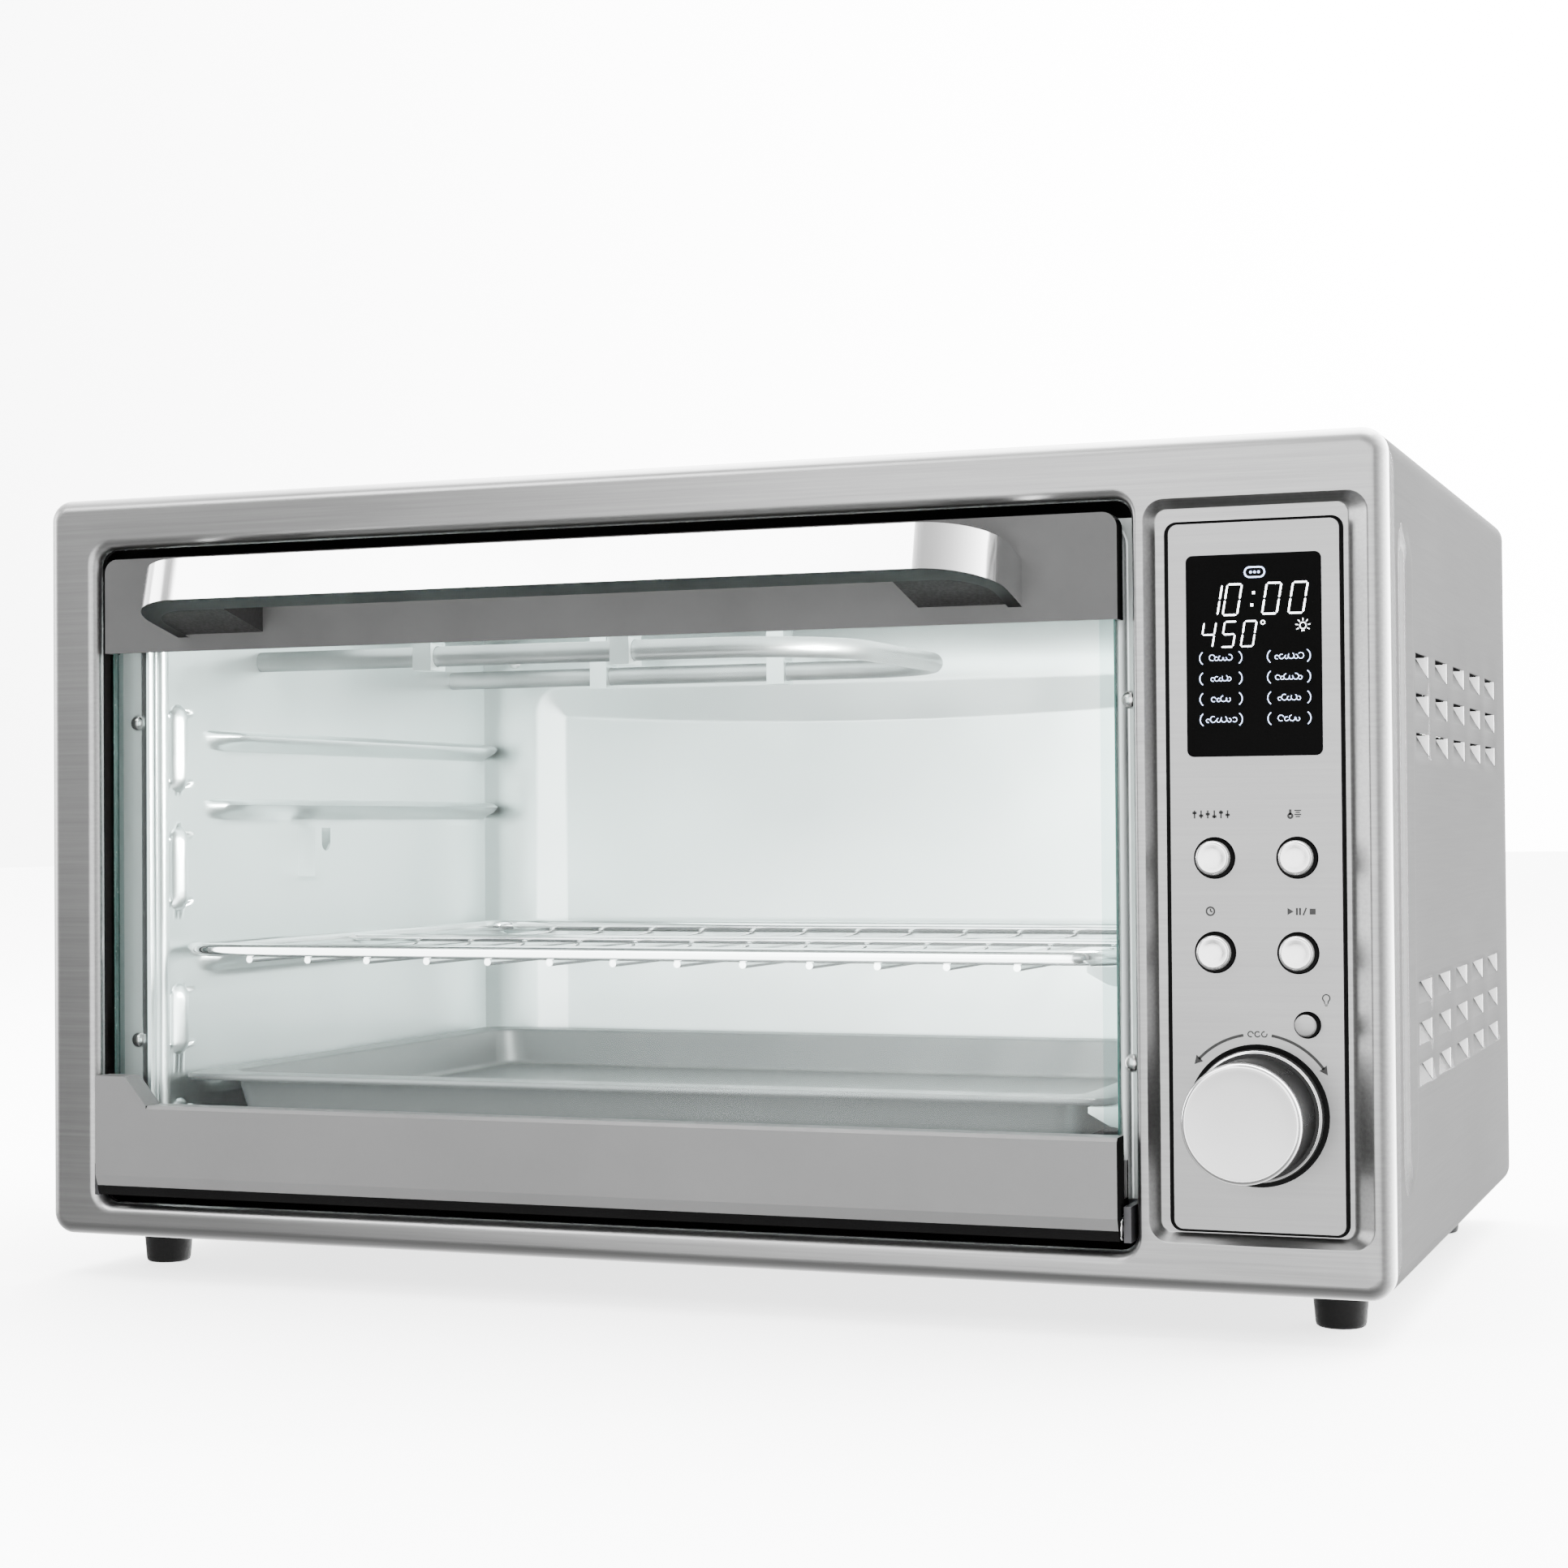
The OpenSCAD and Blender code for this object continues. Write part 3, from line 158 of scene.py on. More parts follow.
class Form:
    """Collects rings and faces of one piece."""

    def __init__(self):
        self.bm = bmesh.new()

    def ring(self, points):
        return [self.bm.verts.new(point) for point in points]

    def face(self, verts, material=0):
        face = self.bm.faces.new(verts)
        face.material_index = material
        return face

    def bridge(self, a, b, material=0, closed=True):
        count = len(a)
        for i in range(count if closed else count - 1):
            j = (i + 1) % count
            self.face((a[i], a[j], b[j], b[i]), material)

    def loft(self, rings, materials=None, closed=True):
        for i in range(len(rings) - 1):
            self.bridge(rings[i], rings[i + 1], materials[i] if materials else 0, closed)

    def fill(self, loops, material=0):
        """Fills the flat area between closed loops; the first is the outline, the rest holes."""
        edges = []
        for loop in loops:
            for i, vert in enumerate(loop):
                other = loop[(i + 1) % len(loop)]
                edges.append(self.bm.edges.get((vert, other)) or self.bm.edges.new((vert, other)))
        made = bmesh.ops.triangle_fill(self.bm, use_beauty=True, edges=edges)
        for item in made["geom"]:
            if isinstance(item, bmesh.types.BMFace):
                item.material_index = material

    def prism(self, outline, lift, material=0):
        """A slab: the outline's points as given, and again moved by lift."""
        near = self.ring(outline)
        far = self.ring([point + lift for point in outline])
        self.bridge(near, far, material)
        self.face(near, material)
        self.face(list(reversed(far)), material)

    def lathe(self, profile, place, steps=48, materials=None):
        """Turns (radius, height) points round; place(radius, angle, height) gives the point."""
        rings = []
        for radius, height in profile:
            if radius < 1e-6:
                rings.append(self.ring([place(0, 0, height)]))
            else:
                turn = [2 * math.pi * i / steps for i in range(steps)]
                rings.append(self.ring([place(radius, a, height) for a in turn]))
        for k in range(len(rings) - 1):
            a, b = rings[k], rings[k + 1]
            material = materials[k] if materials else 0
            if len(a) > 1 and len(b) > 1:
                self.bridge(a, b, material)
            elif len(a) > 1 or len(b) > 1:
                pole, rim = (a[0], b) if len(a) == 1 else (b[0], a)
                for i in range(len(rim)):
                    self.face((pole, rim[i], rim[(i + 1) % len(rim)]), material)

    def grid(self, columns, rows, place, skip=None):
        """A sheet with a point at place(u, v) for every column u and row v; skip leaves cells out."""
        verts = [[self.bm.verts.new(place(u, v)) for v in rows] for u in columns]
        for i in range(len(columns) - 1):
            for j in range(len(rows) - 1):
                if skip and skip((columns[i] + columns[i + 1]) / 2, (rows[j] + rows[j + 1]) / 2):
                    continue
                self.face((verts[i][j], verts[i + 1][j], verts[i + 1][j + 1], verts[i][j + 1]))

    def piece(self, name, materials, body=CHASSIS, slot="brushed_steel", replaces=(), sharp=32):
        bmesh.ops.remove_doubles(self.bm, verts=self.bm.verts, dist=1e-7)
        loose = [v for v in self.bm.verts if not v.link_faces]
        bmesh.ops.delete(self.bm, geom=loose, context="VERTS")
        bmesh.ops.recalc_face_normals(self.bm, faces=self.bm.faces)
        obj = new_object(name, self.bm)
        for polygon in obj.data.polygons:
            polygon.use_smooth = True
        obj.data.set_sharp_from_angle(angle=math.radians(sharp))
        paint(obj, *materials)
        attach(obj, body)
        if replaces:
            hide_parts(*replaces)
        return obj


def new_object(name, bm):
    mesh = bpy.data.meshes.new(name)
    bm.to_mesh(mesh)
    bm.free()
    obj = bpy.data.objects.new(name, mesh)
    bpy.context.scene.collection.objects.link(obj)
    return obj


def paint(obj, *materials):
    if obj.data.materials:
        obj.data.materials.clear()
    for material in materials:
        obj.data.materials.append(material)


def weigh(obj):
    """Keeps flat faces flat-shaded beside small rounds."""
    modifier = obj.modifiers.new("normals", "WEIGHTED_NORMAL")
    modifier.keep_sharp = True
    modifier.weight = 80


def thicken(obj, thickness):
    modifier = obj.modifiers.new("sheet", "SOLIDIFY")
    modifier.thickness = thickness
    modifier.offset = -1
    modifier.use_even_offset = True


def soften(obj, width, segments=2, angle=35):
    """Rounds the sharp edges of a piece and shades it smooth across the small ones."""
    bevel = obj.modifiers.new("edge", "BEVEL")
    bevel.width = width
    bevel.segments = segments
    bevel.limit_method = "ANGLE"
    bevel.angle_limit = math.radians(angle)
    bevel.harden_normals = True
    bevel.use_clamp_overlap = True


def round_loop(x0, z0, x1, z1, r, steps=8):
    """Outline of a rectangle with round corners, anticlockwise, as (x, z)."""
    points = []
    corners = ((x1 - r, z0 + r, -90), (x1 - r, z1 - r, 0), (x0 + r, z1 - r, 90), (x0 + r, z0 + r, 180))
    for cx, cz, start in corners:
        for i in range(steps + 1):
            a = math.radians(start + 90 * i / steps)
            points.append((cx + r * math.cos(a), cz + r * math.sin(a)))
    return points


def front_ring(form, outline, y):
    return form.ring([at(x, y, z) for x, z in outline])


def quarter(steps=6):
    return [math.radians(90 * i / steps) for i in range(steps + 1)]


def spaced(start, end, step):
    count = max(1, round((end - start) / step))
    return [start + (end - start) * i / count for i in range(count + 1)]


def lines(*groups):
    """Sorted grid lines from several lists, without near doubles."""
    result = []
    for value in sorted(v for group in groups for v in group):
        if not result or value - result[-1] > 0.05:
            result.append(value)
    return result


def smooth_step(t):
    t = min(1.0, max(0.0, t))
    return t * t * (3 - 2 * t)


def inside(x, z, box, r):
    """How far a point lies inside a rectangle with round corners; negative outside."""
    x0, z0, x1, z1 = box
    dx = abs(x - (x0 + x1) / 2) - (x1 - x0) / 2 + r
    dz = abs(z - (z0 + z1) / 2) - (z1 - z0) / 2 + r
    return r - math.hypot(max(dx, 0), max(dz, 0)) - min(max(dx, dz), 0)


# ---------- materials ----------

class Shader:
    """Builds one node material around a Principled shader."""

    def __init__(self, name, color, metallic=0.0, roughness=0.5, **sockets):
        self.material = bpy.data.materials.new(name)
        self.material.use_nodes = True
        tree = self.material.node_tree
        self.nodes, self.links = tree.nodes, tree.links
        self.shader = self.nodes["Principled BSDF"]
        self.set("Base Color", (*color, 1))
        self.set("Metallic", metallic)
        self.set("Roughness", roughness)
        for socket, value in sockets.items():
            self.set(socket.replace("_", " "), value)
        self.place = self.nodes.new("ShaderNodeTexCoord").outputs["Object"]

    def set(self, socket, value):
        self.shader.inputs[socket].default_value = value

    def scaled(self, scale):
        mapping = self.nodes.new("ShaderNodeMapping")
        mapping.inputs["Scale"].default_value = scale
        self.links.new(self.place, mapping.inputs["Vector"])
        return mapping.outputs["Vector"]

    def noise(self, scale, size=1.0, detail=4.0, rough=0.5):
        node = self.nodes.new("ShaderNodeTexNoise")
        node.inputs["Scale"].default_value = size
        node.inputs["Detail"].default_value = detail
        node.inputs["Roughness"].default_value = rough
        self.links.new(self.scaled(scale), node.inputs["Vector"])
        return node.outputs["Fac"]

    def spread(self, value, low, high):
        """Maps the middle of a noise value's range on to low..high."""
        node = self.nodes.new("ShaderNodeMapRange")
        for socket, number in (("From Min", 0.3), ("From Max", 0.7), ("To Min", low), ("To Max", high)):
            node.inputs[socket].default_value = number
        self.links.new(value, node.inputs["Value"])
        return node.outputs["Result"]

    def tint(self, value, dark, light):
        """Base colour between two colours, by a noise value."""
        ramp = self.nodes.new("ShaderNodeValToRGB")
        ramp.color_ramp.elements[0].position = 0.25
        ramp.color_ramp.elements[1].position = 0.75
        ramp.color_ramp.elements[0].color = (*dark, 1)
        ramp.color_ramp.elements[1].color = (*light, 1)
        self.links.new(value, ramp.inputs["Fac"])
        self.links.new(ramp.outputs["Color"], self.shader.inputs["Base Color"])

    def rough(self, value, low, high):
        self.links.new(self.spread(value, low, high), self.shader.inputs["Roughness"])

    def bump(self, value, strength, distance=0.0002):
        node = self.nodes.new("ShaderNodeBump")
        node.inputs["Strength"].default_value = strength
        node.inputs["Distance"].default_value = distance
        self.links.new(value, node.inputs["Height"])
        self.links.new(node.outputs["Normal"], self.shader.inputs["Normal"])


def shades(color, contrast):
    return tuple(max(0, c - contrast) for c in color), tuple(min(1, c + contrast) for c in color)


def brushed(name, color, roughness, grain=(12, 900, 900), contrast=0.05, bump=0.12, edge=1.0):
    """Sheet steel with fine parallel brushing; grain is the scale along X, Y and Z."""
    s = Shader(name, color, metallic=1.0, roughness=roughness, Specular_Tint=(edge, edge, edge, 1))
    strokes = s.noise(grain, detail=5, rough=0.65)
    clouds = s.noise((4, 4, 4), detail=3)
    s.tint(strokes, *shades(color, contrast))
    s.rough(clouds, roughness - 0.04, roughness + 0.05)
    s.bump(strokes, bump, 0.00005)
    return s.material


def cloudy_metal(name, color, roughness, contrast=0.05, scale=40, bump=0.05):
    """Metal sheet without a grain: soft spangle and smudges."""
    s = Shader(name, color, metallic=1.0, roughness=roughness)
    spots = s.noise((scale, scale, scale), detail=4)
    s.tint(spots, *shades(color, contrast))
    s.rough(s.noise((12, 12, 12)), roughness - 0.05, roughness + 0.08)
    s.bump(spots, bump, 0.0001)
    return s.material


def satin(name, color, roughness):
    """Even grey coated metal: half mirror, half paint."""
    s = Shader(name, color, metallic=0.55, roughness=roughness, Specular_IOR_Level=0.2)
    s.tint(s.noise((25, 25, 25)), *shades(color, 0.006))
    s.rough(s.noise((400, 400, 400)), roughness - 0.03, roughness + 0.05)
    return s.material


def moulded(name, color, roughness, coat=0.0, grain=900, bump=0.15, shine=0.5):
    """Plastic, rubber or ceramic with a fine moulded skin."""
    s = Shader(name, color, roughness=roughness, Coat_Weight=coat, Specular_IOR_Level=shine)
    if not shine:
        s.set("IOR", 1.0)
    skin = s.noise((grain, grain, grain), detail=2)
    s.tint(s.noise((30, 30, 30)), tuple(c * 0.85 for c in color), tuple(min(1, c * 1.15) for c in color))
    s.rough(skin, roughness - 0.05, roughness + 0.08)
    s.bump(skin, bump, 0.00005)
    return s.material


def floor_paper():
    s = Shader("floor_paper", (0.93, 0.93, 0.93), roughness=0.7, Specular_IOR_Level=0.1,
               Emission_Color=(1, 1, 1, 1), Emission_Strength=2.5)
    s.tint(s.noise((60, 60, 60), detail=3), (0.92, 0.92, 0.92), (0.94, 0.94, 0.94))
    return s.material


def clear_pane(name, tint, sheen=0.02):
    """Clear glass that lets light straight through and mirrors a little more at grazing angles."""
    material = bpy.data.materials.new(name)
    material.use_nodes = True
    nodes, links = material.node_tree.nodes, material.node_tree.links
    nodes.remove(nodes["Principled BSDF"])
    through = nodes.new("ShaderNodeBsdfTransparent")
    through.inputs["Color"].default_value = (*tint, 1)
    mirror = nodes.new("ShaderNodeBsdfGlossy")
    mirror.inputs["Roughness"].default_value = sheen
    fresnel = nodes.new("ShaderNodeFresnel")
    fresnel.inputs["IOR"].default_value = 1.45
    mix = nodes.new("ShaderNodeMixShader")
    links.new(fresnel.outputs["Fac"], mix.inputs["Fac"])
    links.new(through.outputs["BSDF"], mix.inputs[1])
    links.new(mirror.outputs["BSDF"], mix.inputs[2])
    links.new(mix.outputs["Shader"], nodes["Material Output"].inputs["Surface"])
    return material


def glowing(name, color, strength):
    s = Shader(name, color, roughness=0.4, Emission_Color=(*color, 1), Emission_Strength=strength)
    s.tint(s.noise((200, 200, 200)), tuple(c * 0.95 for c in color), color)
    return s.material


MATERIALS = {
    "brushed_steel": brushed("brushed_steel", (0.33, 0.33, 0.33), 0.33),
    "satin_rail": satin("satin_rail", (0.13, 0.13, 0.13), 0.42),
    "galvanised_steel": cloudy_metal("galvanised_steel", (0.2, 0.205, 0.21), 0.42),
    "foot_rubber": moulded("foot_rubber", (0.006, 0.006, 0.006), 0.6, shine=0.1),
    "zinc_screw": cloudy_metal("zinc_screw", (0.75, 0.75, 0.74), 0.25),
    "black_plastic": moulded("black_plastic", (0.008, 0.008, 0.008), 0.45, shine=0.2),
    "white_plastic": moulded("white_plastic", (0.75, 0.75, 0.72), 0.5),
    "black_glossy_plastic": moulded("black_glossy_plastic", (0.001, 0.001, 0.001), 0.25,
                                    bump=0.01, shine=0.01),
    "circuit_board": moulded("circuit_board", (0.02, 0.14, 0.05), 0.4, coat=0.3),
    "copper_winding": brushed("copper_winding", (0.55, 0.27, 0.1), 0.35, grain=(900, 900, 60)),
    "cavity_steel": cloudy_metal("cavity_steel", (0.83, 0.88, 0.875), 0.34, contrast=0.02, bump=0.02),
    "heater_tube": cloudy_metal("heater_tube", (0.3, 0.31, 0.31), 0.4),
    "white_ceramic": moulded("white_ceramic", (0.8, 0.78, 0.72), 0.65),
    "polished_steel": cloudy_metal("polished_steel", (0.86, 0.86, 0.86), 0.12, contrast=0.02, bump=0.01),
    "motor_steel": cloudy_metal("motor_steel", (0.08, 0.08, 0.085), 0.45),
    "clear_glass": clear_pane("clear_glass", (0.95, 0.97, 0.97)),
    "door_glass": clear_pane("door_glass", (0.94, 0.97, 0.965), 0.3),
    "tray_enamel": satin("tray_enamel", (0.09, 0.095, 0.095), 0.42),
}
STEEL = MATERIALS["brushed_steel"]
SIDE_STEEL = brushed("side_steel", (0.2, 0.2, 0.2), 0.45, (900, 14, 900), contrast=0.015,
                     bump=0.04, edge=0.05)
# White for the louvre cheeks: a painted highlight on the side steel; the rear flange strips take the same
# white.
PAINTED_HIGHLIGHT_WHITE = moulded("painted_highlight_white", (0.85, 0.85, 0.85), 0.5)
PLATE_STEEL = brushed("plate_steel", (0.33, 0.33, 0.33), 0.36, contrast=0.02, bump=0.05)
# Darker copy of the cap's steel for the knob's side: a painted dark reflection.
KNOB_SIDE_SHADE = brushed("knob_side_shade", (0.18, 0.18, 0.18), 0.3, grain=(60, 900, 60), contrast=0.05,
                    edge=0.1)
CHROME_CAP = cloudy_metal("chrome_cap", (0.9, 0.9, 0.9), 0.22, contrast=0.04, scale=420, bump=0.3)
SPUN_STEEL = cloudy_metal("spun_steel", (0.6, 0.6, 0.6), 0.28, contrast=0.02, scale=18)
# Darker steel for the handle bar's downward faces: a painted dark reflection and shade.
HANDLE_UNDERSIDE_SHADE = cloudy_metal("handle_underside_shade", (0.03, 0.032, 0.032), 0.35, contrast=0.005)
# Lighter copy of the tray satin for the outside of its walls: painted light on the front wall, which lies
# in shade.
TRAY_OUTSIDE_LIT = satin("tray_outside_lit", (0.24, 0.25, 0.25), 0.42)
# Darker copy of the rail satin for the top rail: painted shade from the handle above it.
TOP_RAIL_SHADE = satin("top_rail", (0.06, 0.06, 0.06), 0.42)
# Pale copy of the cavity steel for the flange strip beside the glass: painted light where the steel would
# mirror dark things.
FLANGE_STRIP_LIT = satin("flange_strip_lit", (0.5, 0.54, 0.53), 0.45)
# Matte black for the door jamb, the gaps and joints round the controls and the louvre slits: painted
# shade.
PAINTED_GAP_SHADE = moulded("painted_gap_shade", (0.003, 0.003, 0.003), 0.9, shine=0)
CHROME = MATERIALS["polished_steel"]
CAVITY_STEEL = MATERIALS["cavity_steel"]
PRINT_BLACK = moulded("print_black", (0.01, 0.01, 0.01), 0.6)
GLASS_BEVEL = clear_pane("glass_bevel", (0.6, 0.72, 0.71), 0.05)
GLASS_EDGE = moulded("glass_edge", (0.02, 0.065, 0.055), 0.2)
DIGITS = glowing("digits", (0.92, 0.95, 1.0), 2.6)
LEGENDS = glowing("legends", (0.5, 0.62, 0.95), 0.9)
BULB_GLOW = glowing("bulb_glow", (1.0, 0.93, 0.8), 6.0)


# ---------- casing ----------

def frame_opening(grow):
    """Outline of the door opening, grown; the post on its right has less room to grow."""
    x0, z0, x1, z1, r = OPENING
    return round_loop(x0 - grow, z0 - grow, x1 + grow * 0.5, z1 + grow, r + grow * 0.75)


def recess_outline(t):
    """Outline of the control recess, from its rim at t = 0 to its floor at t = 1."""
    x0, z0, x1, z1 = RECESS
    return round_loop(x0 + 3.4 * t, z0 + 3.2 * t, x1 - 7.4 * t, z1 - 3.2 * t, 7 - 3.5 * t)


def build_front_frame():
    form = Form()
    outer, inner = [], []
    for a in quarter(8):
        outer.append((EDGE * (1 - math.sin(a)), EDGE * (1 - math.cos(a))))
        r = EDGE - SHEET
        inner.append((EDGE - r * math.sin(a), EDGE - r * math.cos(a)))
    profile = outer + [(0, SKIRT - 0.3), (0.25, SKIRT), (SHEET, SKIRT)] + inner[::-1]
    rings = []
    for inset, y in profile:
        outline = round_loop(-HALF_W + inset, inset, HALF_W - inset, BODY_H - inset, CORNER - inset)
        rings.append(front_ring(form, outline, y))
    form.loft(rings)
    lip = 4.2
    outer, inner = [], []
    for a in quarter(8):
        outer.append((lip * (1 - math.sin(a)), lip * (1 - math.cos(a))))
        r = lip - SHEET
        inner.append((lip - r * math.sin(a), lip - r * math.cos(a)))
    lips = [front_ring(form, frame_opening(g), y)
            for g, y in outer + [(0, LIP_DEEP), (SHEET, LIP_DEEP)] + inner[::-1]]
    # The lip's rounded front is steel; its return into the opening is painted black as shade in the door
    # gap.
    form.loft(lips, [0] * 8 + [1] * (len(lips) - 9))
    slope = ((0, 0), (0.05, 0.05), (0.12, 0.35), (0.88, 4.45), (0.95, 4.72), (1, 4.8))
    fronts = [front_ring(form, recess_outline(t), y) for t, y in slope]
    backs = [front_ring(form, recess_outline(t), y + SHEET) for t, y in slope]
    hole = round_loop(PANEL_X - 24, PLATE[1] + 6, PANEL_X + 24, PLATE[3] - 6, 2)
    hole_front = front_ring(form, hole, RECESS_DEEP)
    hole_back = front_ring(form, hole, RECESS_DEEP + SHEET)
    form.loft(fronts)
    form.loft(backs)
    form.fill([fronts[-1], hole_front])
    form.fill([backs[-1], hole_back])
    form.bridge(hole_front, hole_back)
    form.fill([rings[0], lips[0], fronts[0]])
    form.fill([rings[-1], lips[-1], backs[0]])
    weigh(form.piece("steel_front", (STEEL, PAINTED_GAP_SHADE), replaces=("front_frame",)))


WRAP_Y = SKIRT + 0.2
LOUVRE_COLUMNS = [60 + 46.5 * i for i in range(5)]
LOUVRE_ROWS = [BODY_H - 76, BODY_H - 89.4, BODY_H - 102.8, 90, 76.3, 62.6]
LOUVRE_W = 31
LOUVRE_H = 7.6
LOUVRE_IN = 4.5
BEAD = (24.5, 31, 52.5, 246)
BEAD_OUT = 1.15


def in_louvre(y, z):
    """Whether a point of the side lies in one of the louvre cut-outs."""
    in_column = any(column < y < column + LOUVRE_W for column in LOUVRE_COLUMNS)
    return in_column and any(row < z < row + LOUVRE_H for row in LOUVRE_ROWS)


def bead_height(y, z):
    return BEAD_OUT * smooth_step(inside(y, z, BEAD, 12) / 5)


def build_outer_wrap():
    """Top and sides as one bent sheet, with beads and louvres in the sides and a flange at the back."""
    form = Form()
    y_lines = lines([WRAP_Y, WRAP_Y + 0.25, WRAP_Y + 0.8], spaced(BEAD[0] - 1, BEAD[2] + 1, 1.5),
                    [c + d for c in LOUVRE_COLUMNS for d in (0, LOUVRE_W)],
                    [290, 300, BODY_D - 1.2, BODY_D - 0.4, BODY_D])
    z_lines = lines(spaced(CORNER, 62, 3), [r + d for r in LOUVRE_ROWS for d in (0, LOUVRE_H)],
                    spaced(100, 170, 12), spaced(222, BODY_H - CORNER, 3))
    path = [(-HALF_W + 18, 0.0, 0)]
    arc = quarter(7)
    path += [(-HALF_W + CORNER - CORNER * math.sin(a), CORNER - CORNER * math.cos(a), 0)
             for a in arc[:-1]]
    path += [(-HALF_W, z, -1) for z in z_lines]
    path += [(-HALF_W + CORNER - CORNER * math.cos(a), BODY_H - CORNER + CORNER * math.sin(a), 0)
             for a in arc[1:]]
    path += [(x, BODY_H, 0) for x in spaced(-HALF_W + CORNER, HALF_W - CORNER, 22)[1:-1]]
    left = [point for point in path if point[0] < 0]
    path = left + [(-x, z, -side) for x, z, side in reversed(left)]

    def place(i, y):
        x, z, side = path[int(i)]
        out = side * bead_height(y, z) if side else 0
        tuck = 0.7 * (1 - min(1.0, (y - WRAP_Y) / 0.8)) ** 2
        tuck += 0.9 * max(0.0, 1 - (BODY_D - y) / 1.2) ** 2
        if abs(x) > HALF_W - CORNER - 1 or side:
            x -= math.copysign(tuck, x)
        if z > BODY_H - CORNER - 1:
            z -= tuck
        return at(x + out, y, z)

    def skip(i, y):
        (_, low, side), (_, high, next_side) = path[int(i)], path[int(i) + 1]
        return bool(side and next_side) and in_louvre(y, (low + high) / 2)

    form.grid(list(range(len(path))), y_lines, place, skip)
    wrap = form.piece("casing_wrap", (SIDE_STEEL,), replaces=("outer_wrap",), sharp=40)
    thicken(wrap, SHEET * MM)
    weigh(wrap)
    pockets = Form()
    for side in (-1, 1):
        for y in LOUVRE_COLUMNS:
            for z in LOUVRE_ROWS:
                add_pocket(pockets, side, y, z)
    near, far = HALF_W - 1.6, HALF_W - 14
    flange = [(near, 12), (far, 12), (far, BODY_H - 12), (near, BODY_H - 12)]
    for side in (-1, 1):
        pockets.prism([at(side * x, BODY_D - 3.6, z) for x, z in flange], Vector((0, 1.1 * MM, 0)))
    louvres = pockets.piece("casing_louvres", (PAINTED_HIGHLIGHT_WHITE, SIDE_STEEL, PAINTED_GAP_SHADE),
                            replaces=("outer_wrap",), sharp=30)
    soften(louvres, 0.25 * MM)


def add_pocket(form, side, y, z):
    """The sloping flap of one louvre, a black slit over it as painted shade in the opening, and the cheek
    at each end, painted white as a highlight.
    """
    face = HALF_W - 0.15
    deep = HALF_W - LOUVRE_IN
    top = z + LOUVRE_H
    flap = [(face, z - 0.2), (deep, top), (deep - 0.9, top), (HALF_W - 1.9, z - 0.6)]
    form.prism([at(side * x, y, v) for x, v in flap], Vector((0, LOUVRE_W * MM, 0)), 1)
    # Black slit: painted shade inside the louvre opening.
    slit = [(HALF_W - 1.3, top - 0.3), (deep + 0.1, top - 0.3), (deep + 0.1, top), (HALF_W - 1.3, top)]
    form.prism([at(side * x, y + 0.1, v) for x, v in slit], Vector((0, (LOUVRE_W - 0.8) * MM, 0)), 2)
    # Cheeks take material 0, the white painted highlight.
    cheek = [(face, z + 0.2), (face, top), (deep - 0.5, top), (deep - 0.5, top - 0.6)]
    for end in (y + 0.05, y + LOUVRE_W - 0.65):
        form.prism([at(side * x, end, v) for x, v in cheek], Vector((0, 0.6 * MM, 0)))


def build_feet():
    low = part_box("feet")
    for name, x, y in (("foot_front_left", -1, 43), ("foot_front_right", 1, 43),
                       ("foot_rear_left", -1, BODY_D - 43), ("foot_rear_right", 1, BODY_D - 43)):
        cx = x * (low[1][0] / MM - 9.5)
        form = Form()
        profile = [(0, -5), (4.2, -5), (4.5, -5.5), (4.5, -14.6), (5.2, -15), (7.4, -15), (8.1, -14.5),
                   (8.4, -13.4), (9.3, -3), (9.5, -1.2), (9.5, -0.05), (0, -0.05)]
        form.lathe(profile, lambda r, a, t: at(cx + r * math.cos(a), y + r * math.sin(a), t))
        form.piece(name, (MATERIALS["foot_rubber"],), slot="foot_rubber", replaces=("feet",), sharp=40)


# ---------- controls ----------

def turned(form, x, z, profile, materials=None, steps=64):
    """A turned part whose axis runs front to back through (x, z)."""
    form.lathe(profile, lambda r, a, t: at(x + r * math.cos(a), t, z + r * math.sin(a)),
               steps, materials)


def build_plate_joint_shade():
    """A black ring round the plate, wider on its left: painted shade in the joint."""
    form = Form()
    x0, z0, x1, z1 = PLATE
    rings = []
    for left, grow, r, rise in ((1.9, 1.1, 4, 0.02), (1.7, 0.9, 3.9, 0.5),
                                (0.06, 0.06, 3.05, 0.5), (0.06, 0.06, 3.05, 0.02)):
        outline = round_loop(x0 - left, z0 - grow, x1 + grow, z1 + grow, r)
        rings.append(front_ring(form, outline, RECESS_DEEP - rise))
    form.loft(rings + [rings[0]])
    form.piece("plate_joint_shade", (PAINTED_GAP_SHADE,), slot="black_plastic")


BUTTONS = {
    "function_button": (-BUTTON_X, BUTTON_ROWS[0]),
    "temperature_button": (BUTTON_X, BUTTON_ROWS[0]),
    "time_button": (-BUTTON_X, BUTTON_ROWS[1]),
    "start_button": (BUTTON_X, BUTTON_ROWS[1]),
}


